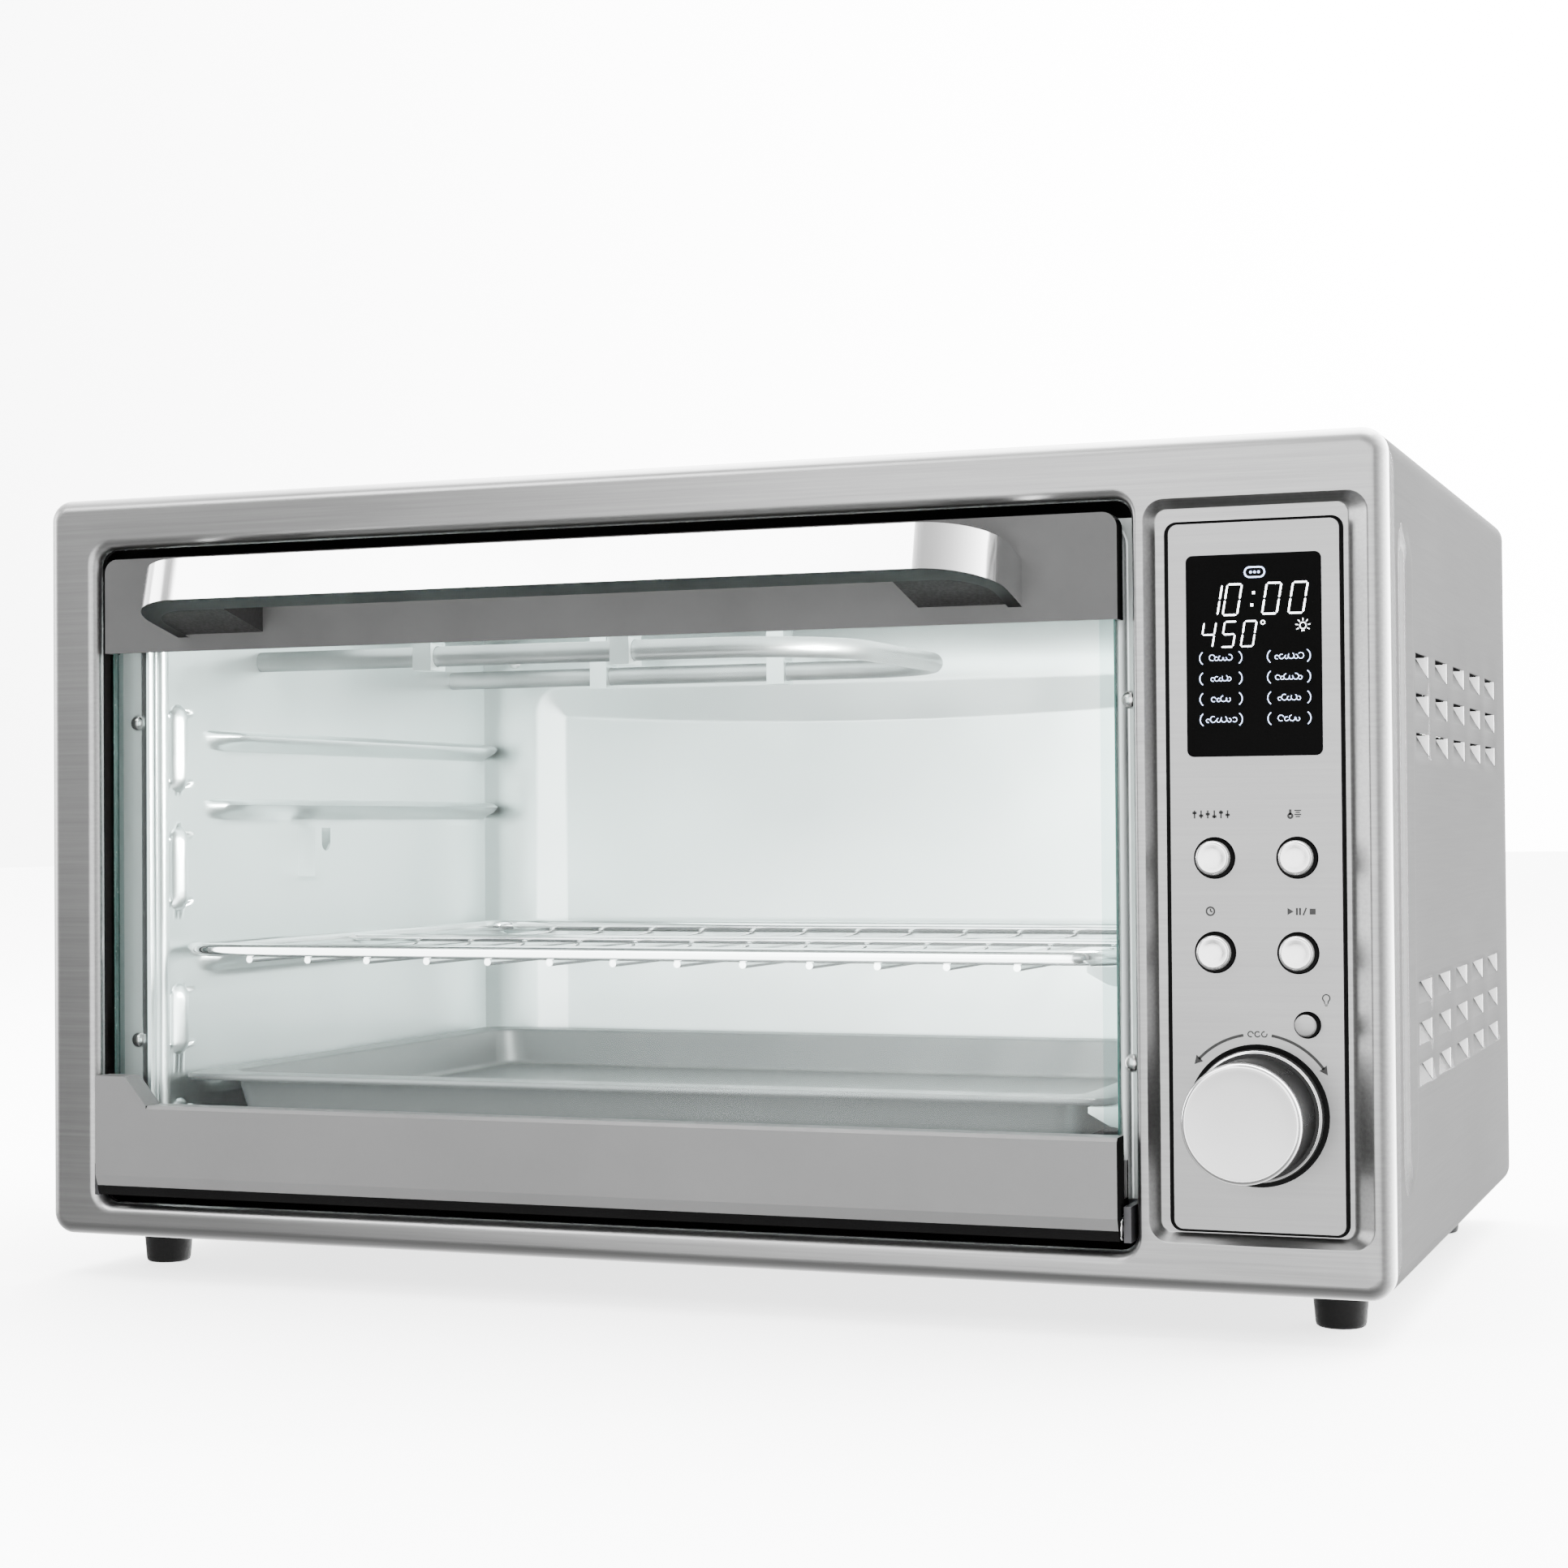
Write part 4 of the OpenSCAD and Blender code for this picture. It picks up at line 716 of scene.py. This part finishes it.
def build_buttons():
    """Domed bright caps in collars painted black as the shade round them, and the small flat light button
    with a black side painted the same way.
    """
    for name, (dx, z) in BUTTONS.items():
        form = Form()
        cap = [(0, -1.6), (1.8, -1.62), (3.3, -1.74), (4.3, -1.96), (4.8, -1.98), (5.25, -1.7),
               (5.5, -1.0), (5.6, 0.9), (5.65, 1.2), (6.1, 1.2), (6.3, 1.4), (6.4, 1.8), (6.4, 5.1),
               (7.5, 5.1), (7.5, 6.2), (2, 6.2), (2, 11.9), (0, 11.9)]
        turned(form, PANEL_X + dx, z, cap, [0] * 7 + [1] * 10, 48)
        form.piece(name + "_cap", (CHROME_CAP, PAINTED_GAP_SHADE), body=name, replaces=(name,), sharp=50)
    form = Form()
    cap = [(0, -1.9), (3.0, -1.85), (3.4, -1.6), (3.55, -1.0), (3.6, 1.5), (3.95, 1.6), (4.0, 1.8),
           (4.0, 5.1), (5.1, 5.1), (5.1, 6.2), (2, 6.2), (2, 11.9), (0, 11.9)]
    turned(form, *LIGHT_BUTTON, cap, [0] * 3 + [1] * 9, 48)
    weigh(form.piece("light_button_cap", (PLATE_STEEL, PAINTED_GAP_SHADE), body="light_button",
                     replaces=("light_button",), sharp=50))


def build_knob():
    """Spun metal cap with a side of darker steel as a painted dark reflection, a black base with a bright
    ring at its foot, and a black ring round it painted as the shade of the gap.
    """
    cap = Form()
    profile = [(0, -24.9), (6, -24.95), (12, -25.1), (16.5, -25.35), (17.6, -25.5), (18.3, -25.4),
               (18.8, -25.0), (19.0, -24.3), (19.0, -23.2), (19.0, -1.3), (17.8, -1.3), (17.8, -24),
               (0, -24)]
    turned(cap, PANEL_X, KNOB_Z, profile, [0] * 4 + [1] * 4 + [2] * 4, 96)
    weigh(cap.piece("knob_cap_spun", (SPUN_STEEL, CHROME, KNOB_SIDE_SHADE), body="knob",
                    replaces=("knob_cap",), sharp=50))
    base = Form()
    profile = [(17.7, -23.9), (17.7, -1.25), (20.2, -1.25), (20.9, -1.0), (21.2, -0.5), (21.3, 0.2),
               (21.3, 1.7), (8, 1.7), (8, -2.3), (3.1, -2.3), (3.1, -17), (0, -17), (0, -23.9),
               (17.7, -23.9)]
    turned(base, PANEL_X, KNOB_Z, profile, [1, 1, 0] + [1] * 10, 96)
    base.piece("knob_base", (CHROME, MATERIALS["black_plastic"]), body="knob", slot="black_plastic",
               replaces=("knob",), sharp=50)
    ring = Form()
    profile = [(6.7, 2.48), (22.6, 2.48), (22.8, 2.3), (22.6, 2.0), (22.0, 1.85), (6.7, 1.85), (6.7, 2.48)]
    turned(ring, PANEL_X, KNOB_Z, profile, None, 96)
    ring.piece("knob_gap_shade_ring", (PAINTED_GAP_SHADE,), slot="black_plastic", sharp=50)


class Print:
    """Flat printed or lit marks on a face that looks forward."""

    def __init__(self, y, thick=0.05):
        self.form = Form()
        self.y = y
        self.lift = Vector((0, thick * MM, 0))

    def area(self, points, lean=0.0, foot=0.0):
        """A filled outline of (x, z) points, leaning to the right by lean above foot."""
        outline = [at(x + lean * (z - foot), self.y, z) for x, z in points]
        self.form.prism(outline, self.lift)

    def bar(self, x, z, w, h):
        x0, x1, z0, z1 = x - w / 2, x + w / 2, z - h / 2, z + h / 2
        self.area([(x0, z0), (x1, z0), (x1, z1), (x0, z1)])

    def line(self, x0, z0, x1, z1, w):
        length = math.hypot(x1 - x0, z1 - z0)
        nx, nz = -(z1 - z0) / length * w / 2, (x1 - x0) / length * w / 2
        self.area([(x0 + nx, z0 + nz), (x0 - nx, z0 - nz), (x1 - nx, z1 - nz), (x1 + nx, z1 + nz)])

    def arc(self, x, z, r, w, start=0, end=360, steps=24):
        """A band of width w round (x, z), between two angles in degrees."""
        turn = [math.radians(start + (end - start) * i / steps) for i in range(steps + 1)]
        whole = abs(end - start) >= 360
        turn = turn[:-1] if whole else turn
        rings = []
        for radius, lift in ((r - w / 2, 0), (r + w / 2, 0), (r + w / 2, 1), (r - w / 2, 1)):
            points = [at(x + radius * math.cos(a), self.y, z + radius * math.sin(a)) + self.lift * lift
                      for a in turn]
            rings.append(self.form.ring(points))
        self.form.loft(rings + [rings[0]], closed=whole)
        if not whole:
            for end_index in (0, -1):
                self.form.face([ring[end_index] for ring in rings])

    def digit(self, char, x, z, w, h, t, lean=0.17):
        """One seven-segment digit with its lower left corner at (x, z)."""
        gap, half = t * 0.3, t / 2

        def across(v):
            u0, u1 = x + half + gap, x + w - half - gap
            return [(u0, v), (u0 + half, v + half), (u1 - half, v + half),
                    (u1, v), (u1 - half, v - half), (u0 + half, v - half)]

        def upright(u, lo, hi):
            v0, v1 = lo + gap, hi - gap
            return [(u, v0), (u + half, v0 + half), (u + half, v1 - half),
                    (u, v1), (u - half, v1 - half), (u - half, v0 + half)]

        low, middle, high = z + half, z + h / 2, z + h - half
        left, right = x + half, x + w - half
        segments = {"a": across(high), "g": across(middle), "d": across(low),
                    "f": upright(left, middle, high), "b": upright(right, middle, high),
                    "e": upright(left, low, middle), "c": upright(right, low, middle)}
        shown = {"0": "abcdef", "1": "bc", "4": "fgbc", "5": "afgcd"}[char]
        for key in shown:
            self.area(segments[key], lean, z)

    def piece(self, name, material, slot):
        self.form.piece(name, (material,), slot=slot)


def build_display():
    """Lit clock, temperature and programme marks behind the lens."""
    x0, z1 = LENS[0], LENS[3]
    y = LENS_Y - 0.05
    lit = Print(y)
    clock, stroke = z1 - 19.6, 0.6
    for char, x in (("1", 5.1), ("0", 11.5), ("0", 24.2), ("0", 32.6)):
        lit.digit(char, x0 + x, clock, 5.3, 10.4, stroke)
    lit.bar(x0 + 21.9, clock + 7.2, 0.9, 0.9)
    lit.bar(x0 + 21.3, clock + 3.3, 0.9, 0.9)
    for char, x in (("4", 4.2), ("5", 10.9), ("0", 17.3)):
        lit.digit(char, x0 + x, z1 - 29.8, 4.4, 8.6, 0.52)
    lit.arc(x0 + 24.8, z1 - 22.0, 0.6, 0.3)
    cx, cz = x0 + 37.6, z1 - 23.5
    lit.arc(cx, cz + 0.1, 1.0, 0.28)
    lit.bar(cx, cz - 1.5, 0.9, 0.4)
    for k in range(7):
        a = math.radians(-30 + 40 * k)
        lit.line(cx + 1.6 * math.cos(a), cz + 0.1 + 1.6 * math.sin(a),
                 cx + 2.4 * math.cos(a), cz + 0.1 + 2.4 * math.sin(a), 0.28)
    lit.piece("display_digits", DIGITS, "black_glossy_plastic")
    soft = Print(y)
    px, pz = x0 + 22.3, z1 - 5.8
    soft.arc(px - 1.6, pz, 1.6, 0.5, 90, 270, 12)
    soft.arc(px + 1.6, pz, 1.6, 0.5, -90, 90, 12)
    soft.bar(px, pz + 1.6, 3.2, 0.5)
    soft.bar(px, pz - 1.6, 3.2, 0.5)
    for k in (-1, 0, 1):
        soft.arc(px + 1.3 * k, pz, 0.3, 0.3, steps=10)
    words = (((5, 7.0), (5, 6.6), (4, 6.4), (6, 10.4)), ((6, 9.2), (6, 8.6), (5, 7.6), (4, 7.2)))
    heights = (2.2, 1.5, 1.8, 1.4, 2.2, 1.6)
    for column, centre in ((0, x0 + 11.1), (1, x0 + 33.0)):
        for row in range(4):
            z = z1 - 33.0 - 6.6 * row
            for side in (-1, 1):
                mid = 180 if side < 0 else 0
                soft.arc(centre + side * 4.5, z, 2.35, 0.3, mid - 55, mid + 55, 10)
            count, width = words[column][row]
            for k in range(count):
                x = centre - width / 2 + width * (k + 0.5) / count
                h = heights[(k + row + column) % 6]
                soft.arc(x, z - 1.0 + h / 2, h / 2 - 0.15, 0.26, 20 + 40 * k, 300 + 40 * k, 8)
    soft.piece("display_legends", LEGENDS, "black_glossy_plastic")


def build_plate_marks():
    """Small generic printed symbols by the buttons, and the turn arrows over the knob."""
    ink = Print(PLATE_Y - 0.05)
    lift = 14.0
    fx, fz = PANEL_X - 14.3, BUTTON_ROWS[0] + lift
    for k in range(6):
        x = fx + 2.15 * (k - 2.5)
        ink.line(x, fz - 1.3, x, fz + 1.3, 0.5)
        ink.bar(x, fz + (0.5, -0.4, 0.1, -0.7, 0.6, -0.2)[k], 1.4, 0.8)
    tx, tz = PANEL_X + 12.4, BUTTON_ROWS[0] + lift
    ink.arc(tx - 1.2, tz - 0.7, 0.65, 0.7)
    ink.line(tx - 1.2, tz - 0.4, tx - 1.2, tz + 1.4, 0.8)
    for k in range(4):
        ink.bar(tx + 1.2, tz - 0.9 + 0.65 * k, (1.4, 2.2, 1.4, 2.2)[k], 0.4)
    lift = 13.2
    cx, cz = PANEL_X - 14.8, BUTTON_ROWS[1] + lift
    ink.arc(cx, cz, 1.3, 0.55)
    ink.line(cx, cz, cx, cz + 0.85, 0.5)
    ink.line(cx, cz, cx + 0.65, cz - 0.2, 0.5)
    sx, sz = PANEL_X + 14.6, BUTTON_ROWS[1] + lift
    ink.area([(sx - 4.6, sz - 1.15), (sx - 2.6, sz), (sx - 4.6, sz + 1.15)])
    for x in (-1.6, -0.6):
        ink.bar(sx + x, sz, 0.62, 2.3)
    ink.line(sx + 0.4, sz - 1.2, sx + 1.4, sz + 1.2, 0.5)
    ink.bar(sx + 3.4, sz, 1.9, 1.9)
    bx, bz = LIGHT_BUTTON[0] + 6.0, LIGHT_BUTTON[1] + 8.1
    ink.arc(bx, bz + 0.5, 1.15, 0.4, -55, 235)
    ink.line(bx - 0.62, bz - 0.4, bx - 0.5, bz - 1.3, 0.35)
    ink.line(bx + 0.62, bz - 0.4, bx + 0.5, bz - 1.3, 0.35)
    ink.bar(bx, bz - 1.55, 1.1, 0.25)
    ink.bar(bx, bz - 1.95, 0.8, 0.22)
    kx, kz = PANEL_X, KNOB_Z
    radius = 26.0
    ink.arc(kx, kz, radius, 0.9, 100, 137, 20)
    ink.arc(kx, kz, radius, 0.9, 80, 36, 20)
    for angle, way in ((136, 1), (37, -1)):
        a = math.radians(angle)
        tip = math.radians(angle + 6 * way)
        ink.area([(kx + (radius + 1.5) * math.cos(a), kz + (radius + 1.5) * math.sin(a)),
                  (kx + (radius - 1.5) * math.cos(a), kz + (radius - 1.5) * math.sin(a)),
                  (kx + radius * math.cos(tip), kz + radius * math.sin(tip))])
    for k in range(3):
        ink.arc(kx - 2.2 + 2.2 * k, kz + radius, 0.85, 0.4, 40 * k, 300 + 40 * k, 14)
    ink.piece("plate_marks", PRINT_BLACK, "black_plastic")


# ---------- door ----------

def build_door_glass():
    """Clear pane with polished bevels and green edges."""
    low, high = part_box("door_glass")
    x0, x1 = low[0] / MM, high[0] / MM
    z0, z1 = low[2] / MM - BASE, high[2] / MM - BASE
    y0, y1 = low[1] / MM - FRONT, high[1] / MM - FRONT
    form = Form()
    rings = []
    for inset, y in ((5, y0), (0.4, y0 + 0.7), (0, y0 + 1.0), (0, y1 - 0.3), (0.3, y1)):
        outline = round_loop(x0 + inset, z0 + inset, x1 - inset, z1 - inset, 2.2)
        rings.append(front_ring(form, outline, y))
    form.loft(rings, [1, 2, 2, 2])
    form.face(rings[0], 0)
    form.face(rings[-1], 0)
    form.piece("door_pane", (MATERIALS["door_glass"], GLASS_BEVEL, GLASS_EDGE), body="door",
               slot="door_glass", replaces=("door_glass",), sharp=15)


def dress_by_side(name, default, rules):
    """Paints a CAD node, with other materials on faces that meet a rule(normal, centre in mm)."""
    obj = NODES[name]
    paint(obj, default, *[material for material, _ in rules])
    for polygon in obj.data.polygons:
        centre = polygon.center / MM - Vector((0, FRONT, BASE))
        for index, (_, rule) in enumerate(rules):
            if rule(polygon.normal, centre):
                polygon.material_index = index + 1
                break


# ---------- cavity ----------

def build_flange():
    """Jamb round the door painted black as shade in the door gap, a strip beside the glass painted pale as
    light, and a bright rolled edge.
    """
    form = Form()
    x0, z0, x1, z1, _ = OPENING
    jamb = (x0 - 5, z0 - 5, x1 + 3, z1 + 5)
    grown = lambda g: (jamb[0] - g, jamb[1] - g, jamb[2] + g, jamb[3] + g)
    tube = []
    for g, y in ((0, SHEET), (0, 19.2), (-1, 18), (-1, SHEET)):
        tube.append(front_ring(form, round_loop(*grown(g), 2), y))
    a, b, c, d = CAVITY
    hole = lambda g: round_loop(a - g, b - g, c + g, d + g, 4 + g)
    roll = [front_ring(form, hole(g), y) for g, y in
            ((4.8, 18), (4.0, 17.6), (2.9, 16.9), (1.6, 16.6), (0.5, 17.1), (0, 18.2), (0, 19.2))]
    shown = front_ring(form, round_loop(jamb[0] + 1.5, b - 5, jamb[2] - 1.5, d + 5.2, 5), 18)
    form.bridge(tube[3], tube[0], 1)
    form.bridge(tube[0], tube[1], 1)
    form.bridge(tube[2], tube[3], 1)
    form.fill([tube[2], shown], 1)
    form.fill([shown, roll[0]], 2)
    form.loft(roll)
    form.fill([tube[1], roll[-1]])
    weigh(form.piece("cavity_front", (CAVITY_STEEL, PAINTED_GAP_SHADE, FLANGE_STRIP_LIT), slot="cavity_steel",
                     replaces=("cavity_flange",)))


LEDGES = ((104.0, 12, 46), (56.5, 12, 46), (163.0, 8, 50), (190.0, 8, 50))
CAPSULES = ((166.5, 199), (121, 152), (66, 92), (33, 48))
JAMB_BEAD_Y = 23.2


def left_wall_height(y, z):
    """How far the left wall stands into the cavity."""
    height = 0.0
    for top, width, start in LEDGES:
        if start <= y <= CAVITY_Y[1] - DISH - 1:
            fade = smooth_step((y - start) / 22) * smooth_step((CAVITY_Y[1] - DISH - 1 - y) / 3)
            drop = top - z
            if 0 < drop < 7.5:
                section = smooth_step(drop / 1.6) * smooth_step((7.5 - drop) / 5.5)
                height = max(height, width * fade * section)
    for low, high in CAPSULES:
        depth = inside(y, z, (29, low, 39, high), 4.9)
        height = max(height, 3.6 * math.sqrt(max(0.0, min(1.0, depth / 4.9))))
    lean = 1 - ((y - JAMB_BEAD_Y) / 2.6) ** 2
    return max(height, 2.2 * math.sqrt(max(0.0, lean)))


def build_left_wall():
    """Pressed sheet with the ledges for rack and tray and a row of upright bulges by the door."""
    form = Form()
    x0, z0, _, z1 = CAVITY
    z_lines = [z0, z1] + [top - d for top, _, _ in LEDGES
                          for d in (-0.6, 0, 0.25, 0.5, 1.2, 2, 3.5, 5, 6.5, 7.5)]
    for low, high in CAPSULES:
        z_lines += [low + d for d in (0, 0.3, 0.8, 1.6, 2.6, 3.8, 5)]
        z_lines += [high - d for d in (0, 0.3, 0.8, 1.6, 2.6, 3.8, 5)]
    z_lines = lines(z_lines, spaced(z0, z1, 12))
    y_lines = lines([CAVITY_Y[0], CAVITY_Y[1]],
                    [JAMB_BEAD_Y + d for d in (-2.6, -2.4, -1.8, -1, 0, 1, 1.8, 2.4, 2.6)],
                    [34 + d for d in (-5, -4.8, -4.2, -3.4, -2.2, -1, 0, 1, 2.2, 3.4, 4.2, 4.8, 5)],
                    spaced(46, 73, 2), spaced(80, 288, 18), spaced(288, CAVITY_Y[1] - DISH, 0.8))
    form.grid(y_lines, z_lines, lambda y, z: at(x0 + left_wall_height(y, z), y, z))
    wall = form.piece("cavity_side_pressing", (CAVITY_STEEL,), slot="cavity_steel",
                      replaces=("cavity_left_wall",), sharp=60)
    thicken(wall, 0.9 * MM)


def dish_depth(x, z):
    """How far the dished field of the back wall lies behind its plane."""
    x0, z0, x1, z1 = CAVITY[0] + 27, 45.0, CAVITY[2] - 27, 217.0
    middle = (x0 + x1) / 2
    bow = 1 - ((x - middle) / ((x1 - x0) / 2 - 13.5)) ** 2
    top_band = 13.8 + 5 * max(0.0, bow)
    sx = min(x - x0, x1 - x) / 13.5
    sz = min((z - z0) / 10, (z1 - z) / top_band)
    cx, cz = max(0.0, 1 - sx), max(0.0, 1 - sz)
    t = 1 - math.hypot(cx, cz)
    if t <= 0:
        return 0.0
    full = DISH - 1.2 + 1.2 * max(0.0, bow)
    edge = min(t, 0.08) ** 2 / 0.16 if t < 0.08 else t - 0.04
    return full * min(1.0, edge / 0.96)


def build_back_wall():
    """Sheet with a dished field, and a screw in each corner."""
    form = Form()
    x0, z0, x1, z1 = CAVITY
    x_lines = lines([x0, x1], spaced(x0 + 27, x0 + 42, 0.9), spaced(x1 - 42, x1 - 27, 0.9),
                    spaced(x0 + 42, x1 - 42, 14))
    z_lines = lines([z0, z1], spaced(45, 56, 1.1), spaced(196, 218, 0.8), spaced(56, 196, 14))
    y = CAVITY_Y[1] - DISH
    form.grid(x_lines, z_lines, lambda x, z: at(x, y + dish_depth(x, z), z))
    wall = form.piece("cavity_back_pressing", (CAVITY_STEEL,), slot="cavity_steel",
                      replaces=("cavity_back_wall",), sharp=60)
    thicken(wall, 0.9 * MM)
    screws = Form()
    head = [(0, y - 2.0), (1.6, y - 1.8), (3.0, y - 1.1), (3.6, y - 0.3), (3.6, y), (0, y)]
    for x, z in ((-199, 229), (141, 229), (-199, 36), (141, 36)):
        turned(screws, x, z, head, None, 24)
    screws.piece("cavity_back_screws", (MATERIALS["zinc_screw"],), slot="zinc_screw", sharp=50)


def build_flange_screws():
    form = Form()
    profile = [(0, 15.9), (1.3, 16.0), (2.4, 16.5), (3.0, 17.3), (3.0, 18.0), (1.5, 18), (1.5, 24),
               (0, 24)]
    for x, z in ((-222.15, 192), (-222.15, 72), (162.85, 192), (162.85, 72)):
        turned(form, x, z, profile, None, 24)
    form.piece("flange_screw_heads", (MATERIALS["zinc_screw"],), slot="zinc_screw",
               replaces=("flange_screws",), sharp=50)


def build_baking_tray():
    """Pressed tray with a rolled rim and sloping sides."""
    form = Form()
    low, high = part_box("baking_tray")
    x0, x1 = low[0] / MM, high[0] / MM
    y0, y1 = low[1] / MM - FRONT, high[1] / MM - FRONT
    z0, z1 = low[2] / MM - BASE, high[2] / MM - BASE
    profile = [(1.2, z1 - 2.5), (0.3, z1 - 2.4), (0, z1 - 1.6), (0.1, z1 - 0.8), (0.5, z1 - 0.2),
               (1.2, z1), (12.2, z1), (13.4, z1 - 0.3), (14.2, z1 - 1.2), (16.2, z0 + 3.4),
               (17.0, z0 + 1.7), (19.0, z0 + 1.0), (19.0, z0 + 0.15),
               (16.4, z0 + 0.9), (15.4, z0 + 3.0), (13.3, z1 - 1.7), (12.4, z1 - 1.0),
               (1.6, z1 - 1.0)]
    rings = []
    for inset, z in profile:
        radius = 8 + max(0, inset - 12) * 0.8
        outline = round_loop(x0 + inset, y0 + inset, x1 - inset, y1 - inset, radius, 10)
        rings.append(form.ring([at(x, y, z) for x, y in outline]))
    # The outside of the walls takes the lighter copy: painted light.
    form.loft(rings[:12])
    form.loft(rings[12:] + [rings[0]], [1] * 6)
    form.face(rings[11])
    form.face(rings[12])
    weigh(form.piece("tray_pressing", (MATERIALS["tray_enamel"], TRAY_OUTSIDE_LIT), body="baking_tray",
                     slot="tray_enamel", replaces=("baking_tray",), sharp=60))


def build_bulb():
    x1, y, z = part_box("lamp_bulb")[1][0] / MM, 61.2, 196
    form = Form()
    profile = [(0, 0), (7, 0), (7, 7), (7.4, 9), (8.6, 12.5), (9, 16), (8.7, 19), (7.6, 22), (5.6, 24.4),
               (3, 25.7), (0, 26)]
    form.lathe(profile, lambda r, a, t: at(x1 - t, y + r * math.cos(a), z + r * math.sin(a)), 32,
               [1, 1] + [0] * 8)
    form.piece("lamp_globe", (BULB_GLOW, MATERIALS["zinc_screw"]), slot="clear_glass",
               replaces=("lamp_bulb",), sharp=50)


def build_springs():
    """A wound torsion spring on each hinge pin."""
    low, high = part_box("door_springs")
    for name, start, way in (("spring_left", low[0] / MM, 1), ("spring_right", high[0] / MM, -1)):
        curve = bpy.data.curves.new(name, "CURVE")
        curve.dimensions = "3D"
        curve.bevel_depth = 0.48 * MM
        curve.bevel_resolution = 3
        curve.use_fill_caps = True
        turns, steps = 5, 24
        spline = curve.splines.new("POLY")
        spline.points.add(turns * steps)
        for i in range(turns * steps + 1):
            a = 2 * math.pi * i / steps
            x = start + way * (0.5 + 4.9 * i / (turns * steps))
            spline.points[i].co = (*at(x, 3.6 * math.cos(a), 20 + 3.6 * math.sin(a)), 1)
        obj = bpy.data.objects.new(name, curve)
        bpy.context.scene.collection.objects.link(obj)
        obj.data.materials.append(CHROME)
        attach(obj, CHASSIS)
        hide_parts("door_springs")


# ---------- everything together ----------

def dress_nodes():
    """Gives every CAD node its slot's material and small edge rounds."""
    slots = {s["node"]: s["material_slot"] for s in frame["record"]["subparts"]}
    rounds = {"handle_bar": 0.9, "control_plate": 0.55, "display_lens": 0.4, "door_top_rail": 0.6,
              "door_bottom_rail": 0.6, "handle_posts": 0.6, "crumb_tray": 0.25, "wire_rack": 0.1}
    for name, obj in NODES.items():
        paint(obj, MATERIALS[slots[name]])
        soften(obj, rounds.get(name, 0.35) * MM, 3 if name in rounds else 2)
    paint(NODES["control_plate"], PLATE_STEEL)
    for rail, look in (("door_top_rail", TOP_RAIL_SHADE), ("door_bottom_rail", MATERIALS["satin_rail"])):
        # Rail faces lower than 20.1 mm and faces turned to the right are painted black as shade in the
        # door gap.
        dress_by_side(rail, look, [(PAINTED_GAP_SHADE, lambda n, c: c.z < 20.1 or n.x > 0.8)])
    # The handle bar's downward faces get the darker steel: painted dark reflection and shade.
    dress_by_side("handle_bar", CHROME, [(HANDLE_UNDERSIDE_SHADE, lambda n, c: n.z < -0.5)])


look_from((0.3868, -1.02205, 0.1656), 20.959, 0.892, -0.431, 64.27)
studio()
dress_nodes()
build_front_frame()
build_outer_wrap()
build_feet()
build_plate_joint_shade()
build_buttons()
build_knob()
build_display()
build_plate_marks()
build_door_glass()
build_flange()
build_left_wall()
build_back_wall()
build_flange_screws()
build_baking_tray()
build_bulb()
build_springs()
